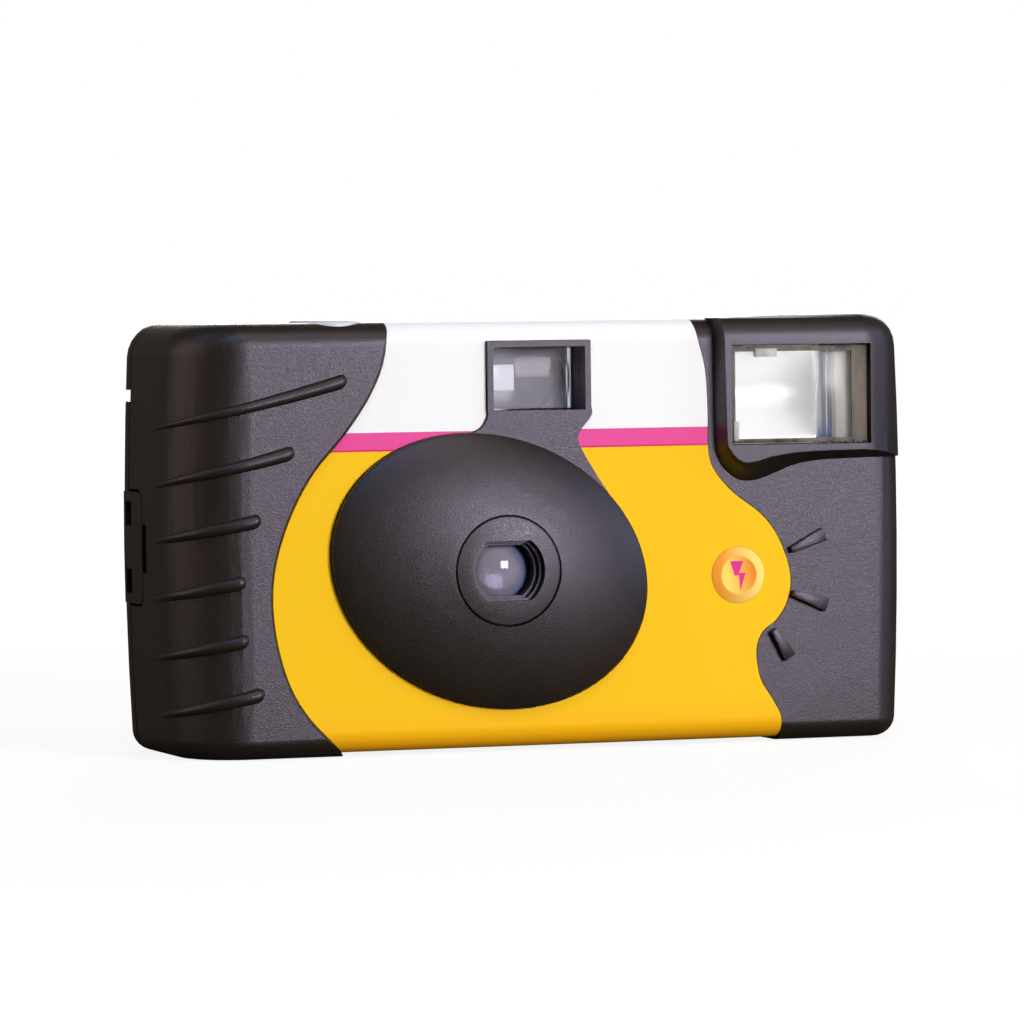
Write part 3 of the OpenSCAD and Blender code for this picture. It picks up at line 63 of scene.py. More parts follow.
def addNode(tree, kind, values=None, links=None, **settings):
    made = tree.nodes.new(kind)
    for key, value in settings.items():
        setattr(made, key, value)
    for key, value in (values or {}).items():
        made.inputs[key].default_value = value
    for key, source in (links or {}).items():
        tree.links.new(source, made.inputs[key])
    return made


def objectPlace(tree):
    return addNode(tree, "ShaderNodeTexCoord").outputs["Object"]


def noiseOf(tree, scale, detail=2.0, stretch=(1, 1, 1)):
    place = addNode(tree, "ShaderNodeMapping", {"Scale": stretch}, {"Vector": objectPlace(tree)})
    noise = addNode(tree, "ShaderNodeTexNoise", {"Scale": scale, "Detail": detail},
                    {"Vector": place.outputs["Vector"]})
    return noise.outputs["Fac"]


def spread(tree, source, low, high, fromLow=0.3, fromHigh=0.7):
    reach = addNode(tree, "ShaderNodeMapRange",
                    {"From Min": fromLow, "From Max": fromHigh, "To Min": low, "To Max": high},
                    {"Value": source})
    return reach.outputs["Result"]


def tintBetween(tree, source, low, high, fromLow=0.3, fromHigh=0.7):
    ramp = addNode(tree, "ShaderNodeValToRGB", links={"Fac": source})
    ramp.color_ramp.elements[0].position = fromLow
    ramp.color_ramp.elements[0].color = (*low, 1)
    ramp.color_ramp.elements[1].position = fromHigh
    ramp.color_ramp.elements[1].color = (*high, 1)
    return ramp.outputs["Color"]


def bumpBy(tree, shader, height, strength, depth):
    bump = addNode(tree, "ShaderNodeBump", {"Strength": strength, "Distance": depth}, {"Height": height})
    tree.links.new(bump.outputs["Normal"], shader.inputs["Normal"])
    return bump


# finishes

def mouldedPlastic(name, look):
    finish, tree, shader = newFinish(name)
    cloud = noiseOf(tree, look["cloud"], 3.0)
    grain = noiseOf(tree, look["grain"], 1.0)
    tree.links.new(tintBetween(tree, cloud, look["dark"], look["light"]), shader.inputs["Base Color"])
    tree.links.new(spread(tree, grain, *look["rough"]), shader.inputs["Roughness"])
    shader.inputs["Specular IOR Level"].default_value = look["shine"]
    shader.inputs["Specular Tint"].default_value = (*look.get("sheen", (1, 1, 1)), 1)
    bumpBy(tree, shader, grain, look["strength"], look["depth"])
    return finish


def brushedMetal(name, look):
    finish, tree, shader = newFinish(name)
    brush = noiseOf(tree, look["grain"], 2.0, look["stretch"])
    tree.links.new(tintBetween(tree, brush, look["dark"], look["light"]), shader.inputs["Base Color"])
    tree.links.new(spread(tree, brush, *look["rough"]), shader.inputs["Roughness"])
    shader.inputs["Metallic"].default_value = look.get("metal", 1.0)
    bumpBy(tree, shader, brush, 0.15, 0.00001)
    return finish


def clearPlastic(name, look):
    finish, tree, shader = newFinish(name)
    haze = noiseOf(tree, look["haze"], 2.0)
    tree.links.new(spread(tree, haze, *look["rough"]), shader.inputs["Roughness"])
    shader.inputs["Base Color"].default_value = (*look["tint"], 1)
    shader.inputs["Transmission Weight"].default_value = look["clear"]
    shader.inputs["IOR"].default_value = look["bend"]
    shader.inputs["Specular Tint"].default_value = (*look.get("glint", (1, 1, 1)), 1)
    return finish


# a window that is moulded rough where it spreads the light and clear at one end
def spreadingWindow(name, look):
    finish, tree, shader = newFinish(name)
    along = addNode(tree, "ShaderNodeSeparateXYZ", links={"Vector": objectPlace(tree)}).outputs["X"]
    tree.links.new(spread(tree, along, look["rough"], look["smooth"], *look["fade"]), shader.inputs["Roughness"])
    shader.inputs["Base Color"].default_value = (*look["tint"], 1)
    shader.inputs["Transmission Weight"].default_value = 1.0
    shader.inputs["IOR"].default_value = look["bend"]
    bumpBy(tree, shader, noiseOf(tree, look["ripple"]), look["strength"], look["depth"])
    return finish


# a milky moulded lens, with its own flange seen through the right edge, where a painted bluish reflection runs along
# the flange in a crescent
def flangedLens(name, look, middle):
    finish, tree, shader = newFinish(name)
    place = addNode(tree, "ShaderNodeMapping", {"Location": (-middle.x, 0, -middle.z), "Scale": (1, 0, 1)},
                    {"Vector": objectPlace(tree)}).outputs[0]
    haze = noiseOf(tree, look["haze"], 2.0)
    colour = tintBetween(tree, haze, look["dark"], look["light"])
    reach = addNode(tree, "ShaderNodeVectorMath", links={0: place}, operation="DISTANCE")
    reach.inputs[1].default_value = look["flangeAt"]
    ring = addNode(tree, "ShaderNodeValToRGB",
                   links={"Fac": spread(tree, reach.outputs["Value"], 0.0, 1.0, *look["flangeReach"])})
    ramp = ring.color_ramp
    ramp.elements[0].color = (0, 0, 0, 1)
    ramp.elements[1].position = look["flangeFrom"]
    ramp.elements[1].color = (1, 1, 1, 1)
    across = addNode(tree, "ShaderNodeSeparateXYZ", links={"Vector": place}).outputs["X"]
    right = spread(tree, across, 0.0, 1.0, *look["flangeSide"])
    share = addNode(tree, "ShaderNodeMath", links={0: ring.outputs["Color"], 1: right}, operation="MULTIPLY")
    # painted reflection: the bluish crescent along the flange on the right side
    edge = addNode(tree, "ShaderNodeMix", links={0: share.outputs[0], 6: colour}, data_type="RGBA")
    edge.inputs[7].default_value = (*look["flange"], 1)
    tree.links.new(edge.outputs[2], shader.inputs["Base Color"])
    tree.links.new(spread(tree, haze, *look["rough"]), shader.inputs["Roughness"])
    shader.inputs["Transmission Weight"].default_value = look["clear"]
    shader.inputs["IOR"].default_value = look["bend"]
    shader.inputs["Specular Tint"].default_value = (*look["glint"], 1)
    return finish


# smoky clear plastic with streaks from the mould
def smokedPlastic(name, look):
    finish, tree, shader = newFinish(name)
    streak = noiseOf(tree, look["streak"], 3.0, look["stretch"])
    tree.links.new(tintBetween(tree, streak, look["dark"], look["light"], 0.36, 0.66), shader.inputs["Base Color"])
    tree.links.new(spread(tree, streak, 0.4, 0.55), shader.inputs["Roughness"])
    shader.inputs["Specular IOR Level"].default_value = 0.2
    shader.inputs["Transmission Weight"].default_value = look["clear"]
    shader.inputs["IOR"].default_value = 1.49
    bumpBy(tree, shader, streak, 0.3, 0.00005)
    return finish


def wornFelt(name, look):
    finish, tree, shader = newFinish(name)
    pile = noiseOf(tree, look["pile"], 4.0)
    tree.links.new(tintBetween(tree, pile, look["dark"], look["light"]), shader.inputs["Base Color"])
    shader.inputs["Roughness"].default_value = 0.95
    shader.inputs["Sheen Weight"].default_value = 0.3
    bumpBy(tree, shader, pile, 0.8, 0.0001)
    return finish


def woundWire(name, look):
    finish, tree, shader = newFinish(name)
    turns = addNode(tree, "ShaderNodeTexWave", {"Scale": look["turns"], "Distortion": 0.6, "Detail": 1.0},
                    {"Vector": objectPlace(tree)}, wave_type="BANDS", bands_direction=look["along"])
    tree.links.new(tintBetween(tree, turns.outputs["Fac"], look["dark"], look["light"], 0.1, 0.8),
                   shader.inputs["Base Color"])
    shader.inputs["Roughness"].default_value = 0.32
    bumpBy(tree, shader, turns.outputs["Fac"], 0.7, 0.0001)
    return finish


shellLook = {"dark": (0.011, 0.007, 0.0025), "light": (0.017, 0.011, 0.004), "cloud": 60, "grain": 4600,
             "rough": (0.36, 0.50), "shine": 0.6, "sheen": (0.82, 0.74, 1.0), "strength": 0.42, "depth": 0.00006}
frameLook = {"dark": (0.012, 0.012, 0.013), "light": (0.018, 0.018, 0.019), "cloud": 90, "grain": 3000,
             "rough": (0.38, 0.5), "shine": 0.5, "strength": 0.25, "depth": 0.00004}
greyLook = {"dark": (0.56, 0.54, 0.62), "light": (0.62, 0.60, 0.67), "cloud": 80, "grain": 4200,
            "rough": (0.34, 0.44), "shine": 0.5, "strength": 0.12, "depth": 0.00003}
counterLook = {"dark": (0.76, 0.75, 0.70), "light": (0.83, 0.82, 0.78), "cloud": 80, "grain": 4000,
               "rough": (0.4, 0.5), "shine": 0.5, "strength": 0.1, "depth": 0.00003}
spoolLook = {"dark": (0.018, 0.018, 0.02), "light": (0.026, 0.026, 0.028), "cloud": 90, "grain": 3600,
             "rough": (0.3, 0.42), "shine": 0.5, "strength": 0.15, "depth": 0.00003}
chipLook = {"dark": (0.016, 0.016, 0.017), "light": (0.024, 0.024, 0.025), "cloud": 200, "grain": 5000,
            "rough": (0.45, 0.6), "shine": 0.4, "strength": 0.2, "depth": 0.00003}
lacquerLook = {"dark": (0.10, 0.10, 0.12), "light": (0.12, 0.12, 0.14), "cloud": 60, "grain": 2000,
               "rough": (0.22, 0.3), "shine": 0.5, "strength": 0.06, "depth": 0.00002}
filmLook = {"dark": (0.18, 0.09, 0.06), "light": (0.21, 0.11, 0.075), "cloud": 50, "grain": 5000,
            "rough": (0.14, 0.22), "shine": 0.5, "strength": 0.03, "depth": 0.00001}
boardLook = {"dark": (0.07, 0.19, 0.08), "light": (0.1, 0.25, 0.1), "cloud": 240, "grain": 2600,
             "rough": (0.34, 0.46), "shine": 0.5, "strength": 0.15, "depth": 0.00003}
sleeveLook = {"dark": (0.04, 0.055, 0.11), "light": (0.05, 0.07, 0.14), "cloud": 70, "grain": 2200,
              "rough": (0.22, 0.32), "shine": 0.5, "strength": 0.08, "depth": 0.00003}
cellLook = {"dark": (0.42, 0.33, 0.18), "light": (0.48, 0.39, 0.22), "cloud": 70, "grain": 2600,
            "rough": (0.2, 0.3), "shine": 0.5, "strength": 0.06, "depth": 0.00002}
steelLook = {"dark": (0.48, 0.49, 0.5), "light": (0.62, 0.63, 0.65), "grain": 900, "stretch": (1, 1, 12),
             "rough": (0.22, 0.36)}
capLook = {"dark": (0.52, 0.49, 0.38), "light": (0.64, 0.6, 0.48), "grain": 900, "stretch": (6, 6, 1),
           "rough": (0.24, 0.36)}
mirrorLook = {"dark": (0.90, 0.90, 0.90), "light": (0.96, 0.96, 0.96), "grain": 260, "stretch": (6, 1, 1),
              "rough": (0.30, 0.46), "metal": 0.2}
windowLook = {"tint": (0.96, 0.975, 0.985), "haze": 300, "rough": (0.0, 0.03), "clear": 1.0, "bend": 1.49}
# the flange colour is a painted bluish reflection
lensLook = {"dark": (0.56, 0.49, 0.68), "light": (0.72, 0.63, 0.80), "haze": 240, "rough": (0.02, 0.06),
            "clear": 0.66, "bend": 1.49, "glint": (0.75, 0.8, 1.0), "flange": (0.36, 0.46, 0.80),
            "flangeAt": (-0.3 * mm, 0, -0.3 * mm), "flangeFrom": 0.45, "flangeReach": (2.8 * mm, 5.2 * mm),
            "flangeSide": (0.2 * mm, 2.2 * mm)}
finderLook = {"tint": (0.92, 0.89, 1.0), "haze": 200, "rough": (0.02, 0.08), "clear": 0.8, "bend": 1.35,
              "glint": (0.2, 0.2, 0.24)}
flashLook = {"tint": (0.98, 0.98, 0.98), "rough": 0.3, "smooth": 0.02, "fade": (42.0 * mm, 43.6 * mm),
             "bend": 1.49, "ripple": 300, "strength": 0.04, "depth": 0.00002}
smokeLook = {"dark": (0.035, 0.024, 0.018), "light": (0.22, 0.175, 0.14), "streak": 420, "stretch": (1, 1, 0.25),
             "clear": 0.35}
lugLook = {"dark": (0.30, 0.26, 0.23), "light": (0.72, 0.68, 0.64), "streak": 420, "stretch": (1, 1, 0.25),
          "clear": 0.2}
tubeLook = {"tint": (0.97, 0.98, 1.0), "haze": 400, "rough": (0.02, 0.06), "clear": 1.0, "bend": 1.46}
lampLook = {"tint": (1.0, 0.66, 0.42), "haze": 400, "rough": (0.05, 0.12), "clear": 0.9, "bend": 1.49}
feltLook = {"dark": (0.008, 0.008, 0.008), "light": (0.024, 0.024, 0.025), "pile": 6000}
wireLook = {"dark": (0.16, 0.05, 0.02), "light": (0.4, 0.15, 0.06), "turns": 800, "along": "Z"}

# the band's print: bare white above a line of magenta above yellow. Towards the bottom edge the yellow is made amber.
printLook = {"white": (0.90, 0.89, 0.895), "magenta": (0.80, 0.075, 0.31), "edge": (0.66, 0.02, 0.12),
             "yellow": (0.95, 0.54, 0.002), "amber": (1.0, 0.42, 0.008),
             "lineTop": 48.4 * mm, "lineFoot": 45.7 * mm, "edgeFoot": 45.4 * mm, "amberTop": 7 * mm,
             "tall": 66 * mm}
inkLook = {"speck": 2600, "rough": (0.46, 0.58), "shine": 0.1, "strength": 0.06, "depth": 0.00002}


# printed paper is faintly rough all over
def inkSurface(tree, shader):
    speck = noiseOf(tree, inkLook["speck"], 2.0)
    tree.links.new(spread(tree, speck, *inkLook["rough"]), shader.inputs["Roughness"])
    shader.inputs["Specular IOR Level"].default_value = inkLook["shine"]
    bumpBy(tree, shader, speck, inkLook["strength"], inkLook["depth"])


def bandPrint(name, look):
    finish, tree, shader = newFinish(name)
    height = addNode(tree, "ShaderNodeSeparateXYZ", links={"Vector": objectPlace(tree)}).outputs["Z"]
    colours = addNode(tree, "ShaderNodeValToRGB", links={"Fac": spread(tree, height, 0.0, 1.0, 0.0, look["tall"])})
    ramp = colours.color_ramp
    ramp.interpolation = "CONSTANT"
    ramp.elements[0].position = 0
    ramp.elements[0].color = (*look["yellow"], 1)
    ramp.elements[1].position = look["edgeFoot"] / look["tall"]
    ramp.elements[1].color = (*look["edge"], 1)
    for foot, colour in ((look["lineFoot"], look["magenta"]), (look["lineTop"], look["white"])):
        stop = ramp.elements.new(foot / look["tall"])
        stop.color = (*colour, 1)
    # towards the bottom edge the yellow turns amber
    warm = addNode(tree, "ShaderNodeMix", data_type="RGBA")
    tree.links.new(spread(tree, height, 0.9, 0.0, 0.0, look["amberTop"]), warm.inputs[0])
    tree.links.new(colours.outputs["Color"], warm.inputs[6])
    warm.inputs[7].default_value = (*look["amber"], 1)
    tree.links.new(warm.outputs[2], shader.inputs["Base Color"])
    inkSurface(tree, shader)
    return finish


# one inside a shape with straight sides, nought outside
def insideOutline(tree, place, corners):
    nearest = None
    for (startX, startZ), (endX, endZ) in zip(corners, corners[1:] + corners[:1]):
        length = math.hypot(endX - startX, endZ - startZ)
        across = ((startZ - endZ) / length, 0, (endX - startX) / length)
        reach = addNode(tree, "ShaderNodeVectorMath", {1: across}, {0: place}, operation="DOT_PRODUCT")
        side = addNode(tree, "ShaderNodeMath", {1: startX * across[0] + startZ * across[2]},
                       {0: reach.outputs["Value"]}, operation="SUBTRACT").outputs[0]
        if nearest:
            side = addNode(tree, "ShaderNodeMath", links={0: nearest, 1: side}, operation="MINIMUM").outputs[0]
        nearest = side
    return spread(tree, nearest, 0.0, 1.0, -0.02, 0.02)


# the button's print: a plain bolt on amber, drawn in millimetres from its middle; the amber also carries painted shade,
# lighter on one side and darker on the other, reversed between dish and rim
keyLook = {"dishPaintedLight": (0.98, 0.66, 0.13), "dishPaintedShade": (0.93, 0.28, 0.035), "rimPaintedShade": (0.93, 0.34, 0.04),
           "rimPaintedLight": (0.98, 0.68, 0.17), "bolt": (0.80, 0.04, 0.30), "boltFoot": (0.75, 0.01, 0.08),
           "upper": [(-0.58, -0.1), (0.04, -0.1), (0.75, 2.12), (-1.43, 2.12)],
           "lower": [(0.24, -2.43), (1.24, 0.3), (0.1, 0.3)], "rimFrom": 2.75, "rimTo": 2.95,
           "boltSpan": (-2.4, 2.1), "shadeSpan": (-3.6, 3.6)}


def keyPrintAndPaintedShade(name, look, middle):
    finish, tree, shader = newFinish(name)
    moved = addNode(tree, "ShaderNodeVectorMath", {1: middle}, {0: objectPlace(tree)}, operation="SUBTRACT")
    place = addNode(tree, "ShaderNodeVectorMath", {"Scale": 1 / mm}, {0: moved.outputs[0]}, operation="SCALE")
    flat = addNode(tree, "ShaderNodeVectorMath", {1: (1, 0, 1)}, {0: place.outputs[0]}, operation="MULTIPLY").outputs[0]
    reach = addNode(tree, "ShaderNodeVectorMath", links={0: flat}, operation="LENGTH").outputs["Value"]
    axes = addNode(tree, "ShaderNodeSeparateXYZ", links={"Vector": flat})
    across = spread(tree, axes.outputs["X"], 0.0, 1.0, *look["shadeSpan"])
    # painted shade: the amber dish and rim are tinted lighter on one side and darker on the other
    amberWithPaintedShade = addNode(tree, "ShaderNodeMix", data_type="RGBA", links={
        0: spread(tree, reach, 0.0, 1.0, look["rimFrom"], look["rimTo"]),
        6: tintBetween(tree, across, look["dishPaintedLight"], look["dishPaintedShade"], 0.25, 0.85),
        7: tintBetween(tree, across, look["rimPaintedShade"], look["rimPaintedLight"], 0.1, 0.9)}).outputs[2]
    mark = addNode(tree, "ShaderNodeMath", links={0: insideOutline(tree, flat, look["upper"]),
                                                  1: insideOutline(tree, flat, look["lower"])}, operation="MAXIMUM")
    rising = spread(tree, axes.outputs["Z"], 0.0, 1.0, *look["boltSpan"])
    fall = tintBetween(tree, rising, look["boltFoot"], look["bolt"], 0.0, 0.7)
    ink = addNode(tree, "ShaderNodeMix", links={0: mark.outputs[0], 6: amberWithPaintedShade, 7: fall}, data_type="RGBA")
    tree.links.new(ink.outputs[2], shader.inputs["Base Color"])
    inkSurface(tree, shader)
    return finish


finishOf = {
    "cover_plastic": mouldedPlastic("charcoalShell", shellLook),
    "label": bandPrint("printedBand", printLook),
    "frame_plastic": mouldedPlastic("blackChassis", frameLook),
    "clear_plastic": clearPlastic("clearWindow", windowLook),
    "grey_plastic": mouldedPlastic("paleButton", greyLook),
    "counter_plastic": mouldedPlastic("counterDisc", counterLook),
    "steel": brushedMetal("springSteel", steelLook),
    "blade_metal": mouldedPlastic("blackenedBlade", frameLook),
    "cartridge_steel": mouldedPlastic("lacqueredSteel", lacquerLook),
    "cap_metal": brushedMetal("pressedCap", capLook),
    "felt": wornFelt("lightTrapFelt", feltLook),
    "spool_plastic": mouldedPlastic("spoolPlastic", spoolLook),
    "film": mouldedPlastic("filmBase", filmLook),
    "reflector": brushedMetal("brightReflector", mirrorLook),
    "flash_glass": clearPlastic("tubeGlass", tubeLook),
    "lamp_glass": clearPlastic("lampGlass", lampLook),
    "board": mouldedPlastic("circuitBoard", boardLook),
    "capacitor_sleeve": mouldedPlastic("capacitorSleeve", sleeveLook),
    "winding": woundWire("copperWinding", wireLook),
    "chip": mouldedPlastic("componentBody", chipLook),
    "cell_jacket": mouldedPlastic("cellJacket", cellLook),
}
for name, node in nodes.items():
    node.data.materials.clear()
    node.data.materials.append(finishOf[slotOf[name]])
print("finishes on", len(finishOf), "slots")


# merged copies of the CAD pieces that show

def deselectAll():
    if bpy.context.mode != "OBJECT":
        bpy.ops.object.mode_set(mode="OBJECT")
    bpy.ops.object.select_all(action="DESELECT")


def activate(piece):
    deselectAll()
    piece.select_set(True)
    bpy.context.view_layer.objects.active = piece


mergeForm = {"join": 0.002 * mm, "flat": 0.4, "sharp": 50}  # angles in degrees


# a copy of a CAD piece with its triangles joined, its chosen edges rounded and its shading levelled
def mergedCopy(node, name, smooth=32, soften=0.0, where=None):
    activate(nodes[node])
    bpy.ops.object.duplicate(linked=False)
    piece = bpy.context.view_layer.objects.active
    for key in list(piece.keys()):
        del piece[key]
    piece.parent = None
    piece.name = name
    piece.data.name = name
    bpy.ops.mesh.customdata_custom_splitnormals_clear()
    bpy.ops.object.mode_set(mode="EDIT")
    bpy.ops.mesh.select_all(action="SELECT")
    bpy.ops.mesh.remove_doubles(threshold=mergeForm["join"])
    bpy.ops.mesh.dissolve_limited(angle_limit=math.radians(mergeForm["flat"]), delimit={"NORMAL"})
    if soften:
        bpy.ops.mesh.select_mode(type="EDGE")
        bpy.ops.mesh.select_all(action="DESELECT")
        bpy.ops.mesh.edges_select_sharp(sharpness=math.radians(mergeForm["sharp"]))
        bpy.ops.object.mode_set(mode="OBJECT")
        for edge in piece.data.edges:
            ends = [piece.data.vertices[index].co for index in edge.vertices]
            if edge.select and where and not where((ends[0] + ends[1]) / 2):
                edge.select = False
        bpy.ops.object.mode_set(mode="EDIT")
        bpy.ops.mesh.bevel(offset=soften, segments=2, affect="EDGES", clamp_overlap=True)
        bpy.ops.mesh.select_mode(type="VERT")
    bpy.ops.object.mode_set(mode="OBJECT")
    bpy.ops.object.shade_smooth_by_angle(angle=math.radians(smooth))
    level = piece.modifiers.new("levelFaces", "WEIGHTED_NORMAL")
    level.keep_sharp = True
    bpy.ops.object.modifier_apply(modifier=level.name)
    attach(piece, bodyOf[node])
    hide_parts(node)
    return piece


def boxOf(node):
    corners = [nodes[node].matrix_world @ Vector(corner) for corner in nodes[node].bound_box]
    low = Vector([min(corner[axis] for corner in corners) for axis in range(3)])
    high = Vector([max(corner[axis] for corner in corners) for axis in range(3)])
    return low, high


# front edges of the cover that are rounded, all but those round the finger ribs and the lens
edgeForm = {"round": 0.16 * mm, "behind": -11 * mm, "lens": (-8.5 * mm, 27.5 * mm), "lensClear": 11 * mm,
            "ribsEnd": -44.4 * mm, "ribsLean": 0.0105 / mm, "ribsFrom": (30 * mm, 10 * mm)}


def onFront(place):
    upper, lower = edgeForm["ribsFrom"]
    ribEnd = edgeForm["ribsEnd"] + edgeForm["ribsLean"] * max(place.z - upper, 0) * max(place.z - lower, 0)
    fromLens = math.hypot(place.x - edgeForm["lens"][0], place.z - edgeForm["lens"][1])
    return place.y < edgeForm["behind"] and place.x > ribEnd and fromLens > edgeForm["lensClear"]


frontShell = mergedCopy("front_cover", "frontShell", soften=edgeForm["round"], where=onFront)
rearShell = mergedCopy("rear_cover", "rearShell")
printedBand = mergedCopy("wrap_label", "printedBand")
lensRing = mergedCopy("lens_bezel", "lensRing")
lensGlass = mergedCopy("taking_lens", "lensGlass", 60)
lensGlass.data.materials[0] = flangedLens("milkyLens", lensLook, sum(boxOf("taking_lens"), Vector()) / 2)
finderEyepiece = mergedCopy("viewfinder_eyepiece", "finderEyepiece", 40)
shutterKey = mergedCopy("shutter_button", "shutterKey", 40)
counterGlass = mergedCopy("counter_window", "counterGlass", 40)
windWheel = mergedCopy("thumbwheel", "windWheel")
flashWindow = mergedCopy("flash_lens", "flashWindow", 40)
flashWindow.data.materials[0] = spreadingWindow("flashWindow", flashLook)
flashMirror = mergedCopy("flash_reflector", "flashMirror", 40)
flashBulb = mergedCopy("flash_tube", "flashBulb", 40)
flashKey = mergedCopy("flash_button", "flashKey", 40)
lightPipe = mergedCopy("ready_light_pipe", "lightPipe", 40)
print("pieces merged")


# the band is cut from white paper, which shows along its edges

paperLook = {"dark": (0.84, 0.84, 0.85), "light": (0.92, 0.92, 0.93), "cloud": 900, "grain": 5000,
             "rough": (0.6, 0.75), "shine": 0.3, "strength": 0.2, "depth": 0.00003}
cutForm = {"turned": 0.08, "level": 0.3, "thick": 0.35 * mm}  # which faces are the band's cut edges
bandFace = boxOf("wrap_label")[0].y
printedBand.data.materials.append(mouldedPlastic("cutPaper", paperLook))
for face in printedBand.data.polygons:
    sideways = abs(face.normal.x) > cutForm["turned"]
    level = abs(face.normal.y) < cutForm["level"] and face.center.y < bandFace + cutForm["thick"]
    if sideways or level:
        face.material_index = 1


# modelling helpers

def finishPiece(piece, name, body, finish, smooth=40):
    activate(piece)
    bpy.ops.object.transform_apply(location=True, rotation=True, scale=True)
    bpy.ops.object.mode_set(mode="EDIT")
    bpy.ops.mesh.select_all(action="SELECT")
    bpy.ops.mesh.normals_make_consistent(inside=False)
    bpy.ops.object.mode_set(mode="OBJECT")
    bpy.ops.object.shade_smooth_by_angle(angle=math.radians(smooth))
    piece.name = name
    piece.data.name = name
    piece.data.materials.clear()
    piece.data.materials.append(finish)
    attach(piece, body)
    return piece


# a closed turning round an axis along y, from (radius, how far forward) steps
def turnedPiece(middle, steps, around=72):
    deselectAll()
    radius, ahead = steps[0]
    bpy.ops.mesh.primitive_circle_add(vertices=around, radius=radius, fill_type="NGON", enter_editmode=False,
                                      location=(middle.x, middle.y - ahead, middle.z), rotation=(math.pi / 2, 0, 0))
    piece = bpy.context.view_layer.objects.active
    bpy.ops.object.transform_apply(location=True, rotation=True, scale=True)
    bpy.ops.object.mode_set(mode="EDIT")
    bpy.ops.mesh.select_all(action="SELECT")
    for nextRadius, nextAhead in steps[1:]:
        bpy.ops.mesh.extrude_region_move(TRANSFORM_OT_translate={"value": (0, ahead - nextAhead, 0)})
        share = nextRadius / radius
        bpy.ops.transform.resize(value=(share, 1, share),
                                 center_override=(middle.x, middle.y - nextAhead, middle.z))
        radius, ahead = nextRadius, nextAhead
    bpy.ops.object.mode_set(mode="OBJECT")
    return piece


def makeBlock(x0, x1, y0, y1, z0, z1, edge):
    deselectAll()
    bpy.ops.mesh.primitive_cube_add(size=1, location=((x0 + x1) / 2, (y0 + y1) / 2, (z0 + z1) / 2))
    block = bpy.context.view_layer.objects.active
    block.scale = (x1 - x0, y1 - y0, z1 - z0)
    bpy.ops.object.transform_apply(location=True, rotation=True, scale=True)
    if edge:
        bpy.ops.object.mode_set(mode="EDIT")
        bpy.ops.mesh.select_all(action="SELECT")
        bpy.ops.mesh.bevel(offset=edge, segments=2, affect="EDGES")
        bpy.ops.object.mode_set(mode="OBJECT")
    return block


# opens edit mode with only the points picked by their place
def selectPoints(piece, picked):
    if bpy.context.mode != "OBJECT":
        bpy.ops.object.mode_set(mode="OBJECT")
    activate(piece)
    bpy.ops.object.mode_set(mode="EDIT")
    bpy.ops.mesh.select_mode(type="VERT")
    bpy.ops.mesh.select_all(action="DESELECT")
    bpy.ops.object.mode_set(mode="OBJECT")
    for point in piece.data.vertices:
        point.select = picked(point.co)
    bpy.ops.object.mode_set(mode="EDIT")


# cuts one piece from another and drops the cutter
def carve(piece, cutter):
    activate(piece)
    cut = piece.modifiers.new("carve", "BOOLEAN")
    cut.operation = "DIFFERENCE"
    cut.solver = "EXACT"
    cut.object = cutter
    bpy.ops.object.modifier_apply(modifier=cut.name)
    activate(cutter)
    bpy.ops.object.delete()


# the flash button's printed disc, with painted shade on its amber: a raised rim round a shallow dish
discForm = {"rim": [(4.3, -0.5), (4.3, 0.02), (4.2, 0.07), (3.1, 0.40), (2.95, 0.43), (2.8, 0.41)],
            "dishRadius": 2.7, "dishTop": 0.38, "dishDepth": 0.33, "dishRings": 9, "middle": 0.08}  # millimetres


def makeFlashDisc():
    low, high = boxOf("flash_button")
    middle = (low + high) / 2
    middle.y = bandFace
    steps = list(discForm["rim"])
    for ring in range(discForm["dishRings"]):
        share = 1 - ring / discForm["dishRings"]
        sunk = discForm["dishDepth"] * (1 - share * share)
        steps.append((discForm["dishRadius"] * share, discForm["dishTop"] - sunk))
    steps.append((discForm["middle"], discForm["dishTop"] - discForm["dishDepth"]))
    disc = turnedPiece(middle, [(radius * mm, ahead * mm) for radius, ahead in steps])
    finishPiece(disc, "flashDisc", bodyOf["flash_button"], keyPrintAndPaintedShade("keyPrintAndPaintedShade", keyLook, middle), 25)
    return disc


flashDisc = makeFlashDisc()


# the finder's front lens: a clear block hollowed at the back
finderForm = {"backRadius": 8.4 * mm, "middle": 0.6 * mm, "depth": 4.4 * mm, "edge": 0.15 * mm}


def makeFinderWindow():
    low, high = boxOf("viewfinder_front_lens")
    middle = (low + high) / 2
    size = high - low
    deselectAll()
    bpy.ops.mesh.primitive_cube_add(size=1, location=(middle.x, low.y + finderForm["depth"] / 2, middle.z))
    block = bpy.context.view_layer.objects.active
    block.scale = (size.x, finderForm["depth"], size.z)
    bpy.ops.object.transform_apply(location=True, rotation=True, scale=True)
    bpy.ops.object.mode_set(mode="EDIT")
    bpy.ops.mesh.select_all(action="SELECT")
    bpy.ops.mesh.bevel(offset=finderForm["edge"], segments=2, affect="EDGES")
    bpy.ops.object.mode_set(mode="OBJECT")
    centre = low.y + finderForm["middle"] + finderForm["backRadius"]
    deselectAll()
    bpy.ops.mesh.primitive_uv_sphere_add(segments=128, ring_count=64, radius=finderForm["backRadius"],
                                         location=(middle.x, centre, middle.z), rotation=(math.pi / 2, 0, 0))
    carve(block, bpy.context.view_layer.objects.active)
    finishPiece(block, "finderWindow", bodyOf["viewfinder_front_lens"], clearPlastic("milkyFinder", finderLook), 35)
    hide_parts("viewfinder_front_lens")
    return block


finderWindow = makeFinderWindow()

# the band's own lip, which closes the gap round the flash button
lipForm = {"outer": 4.5 * mm, "inner": 4.34 * mm, "back": -0.28 * mm, "front": -0.01 * mm}


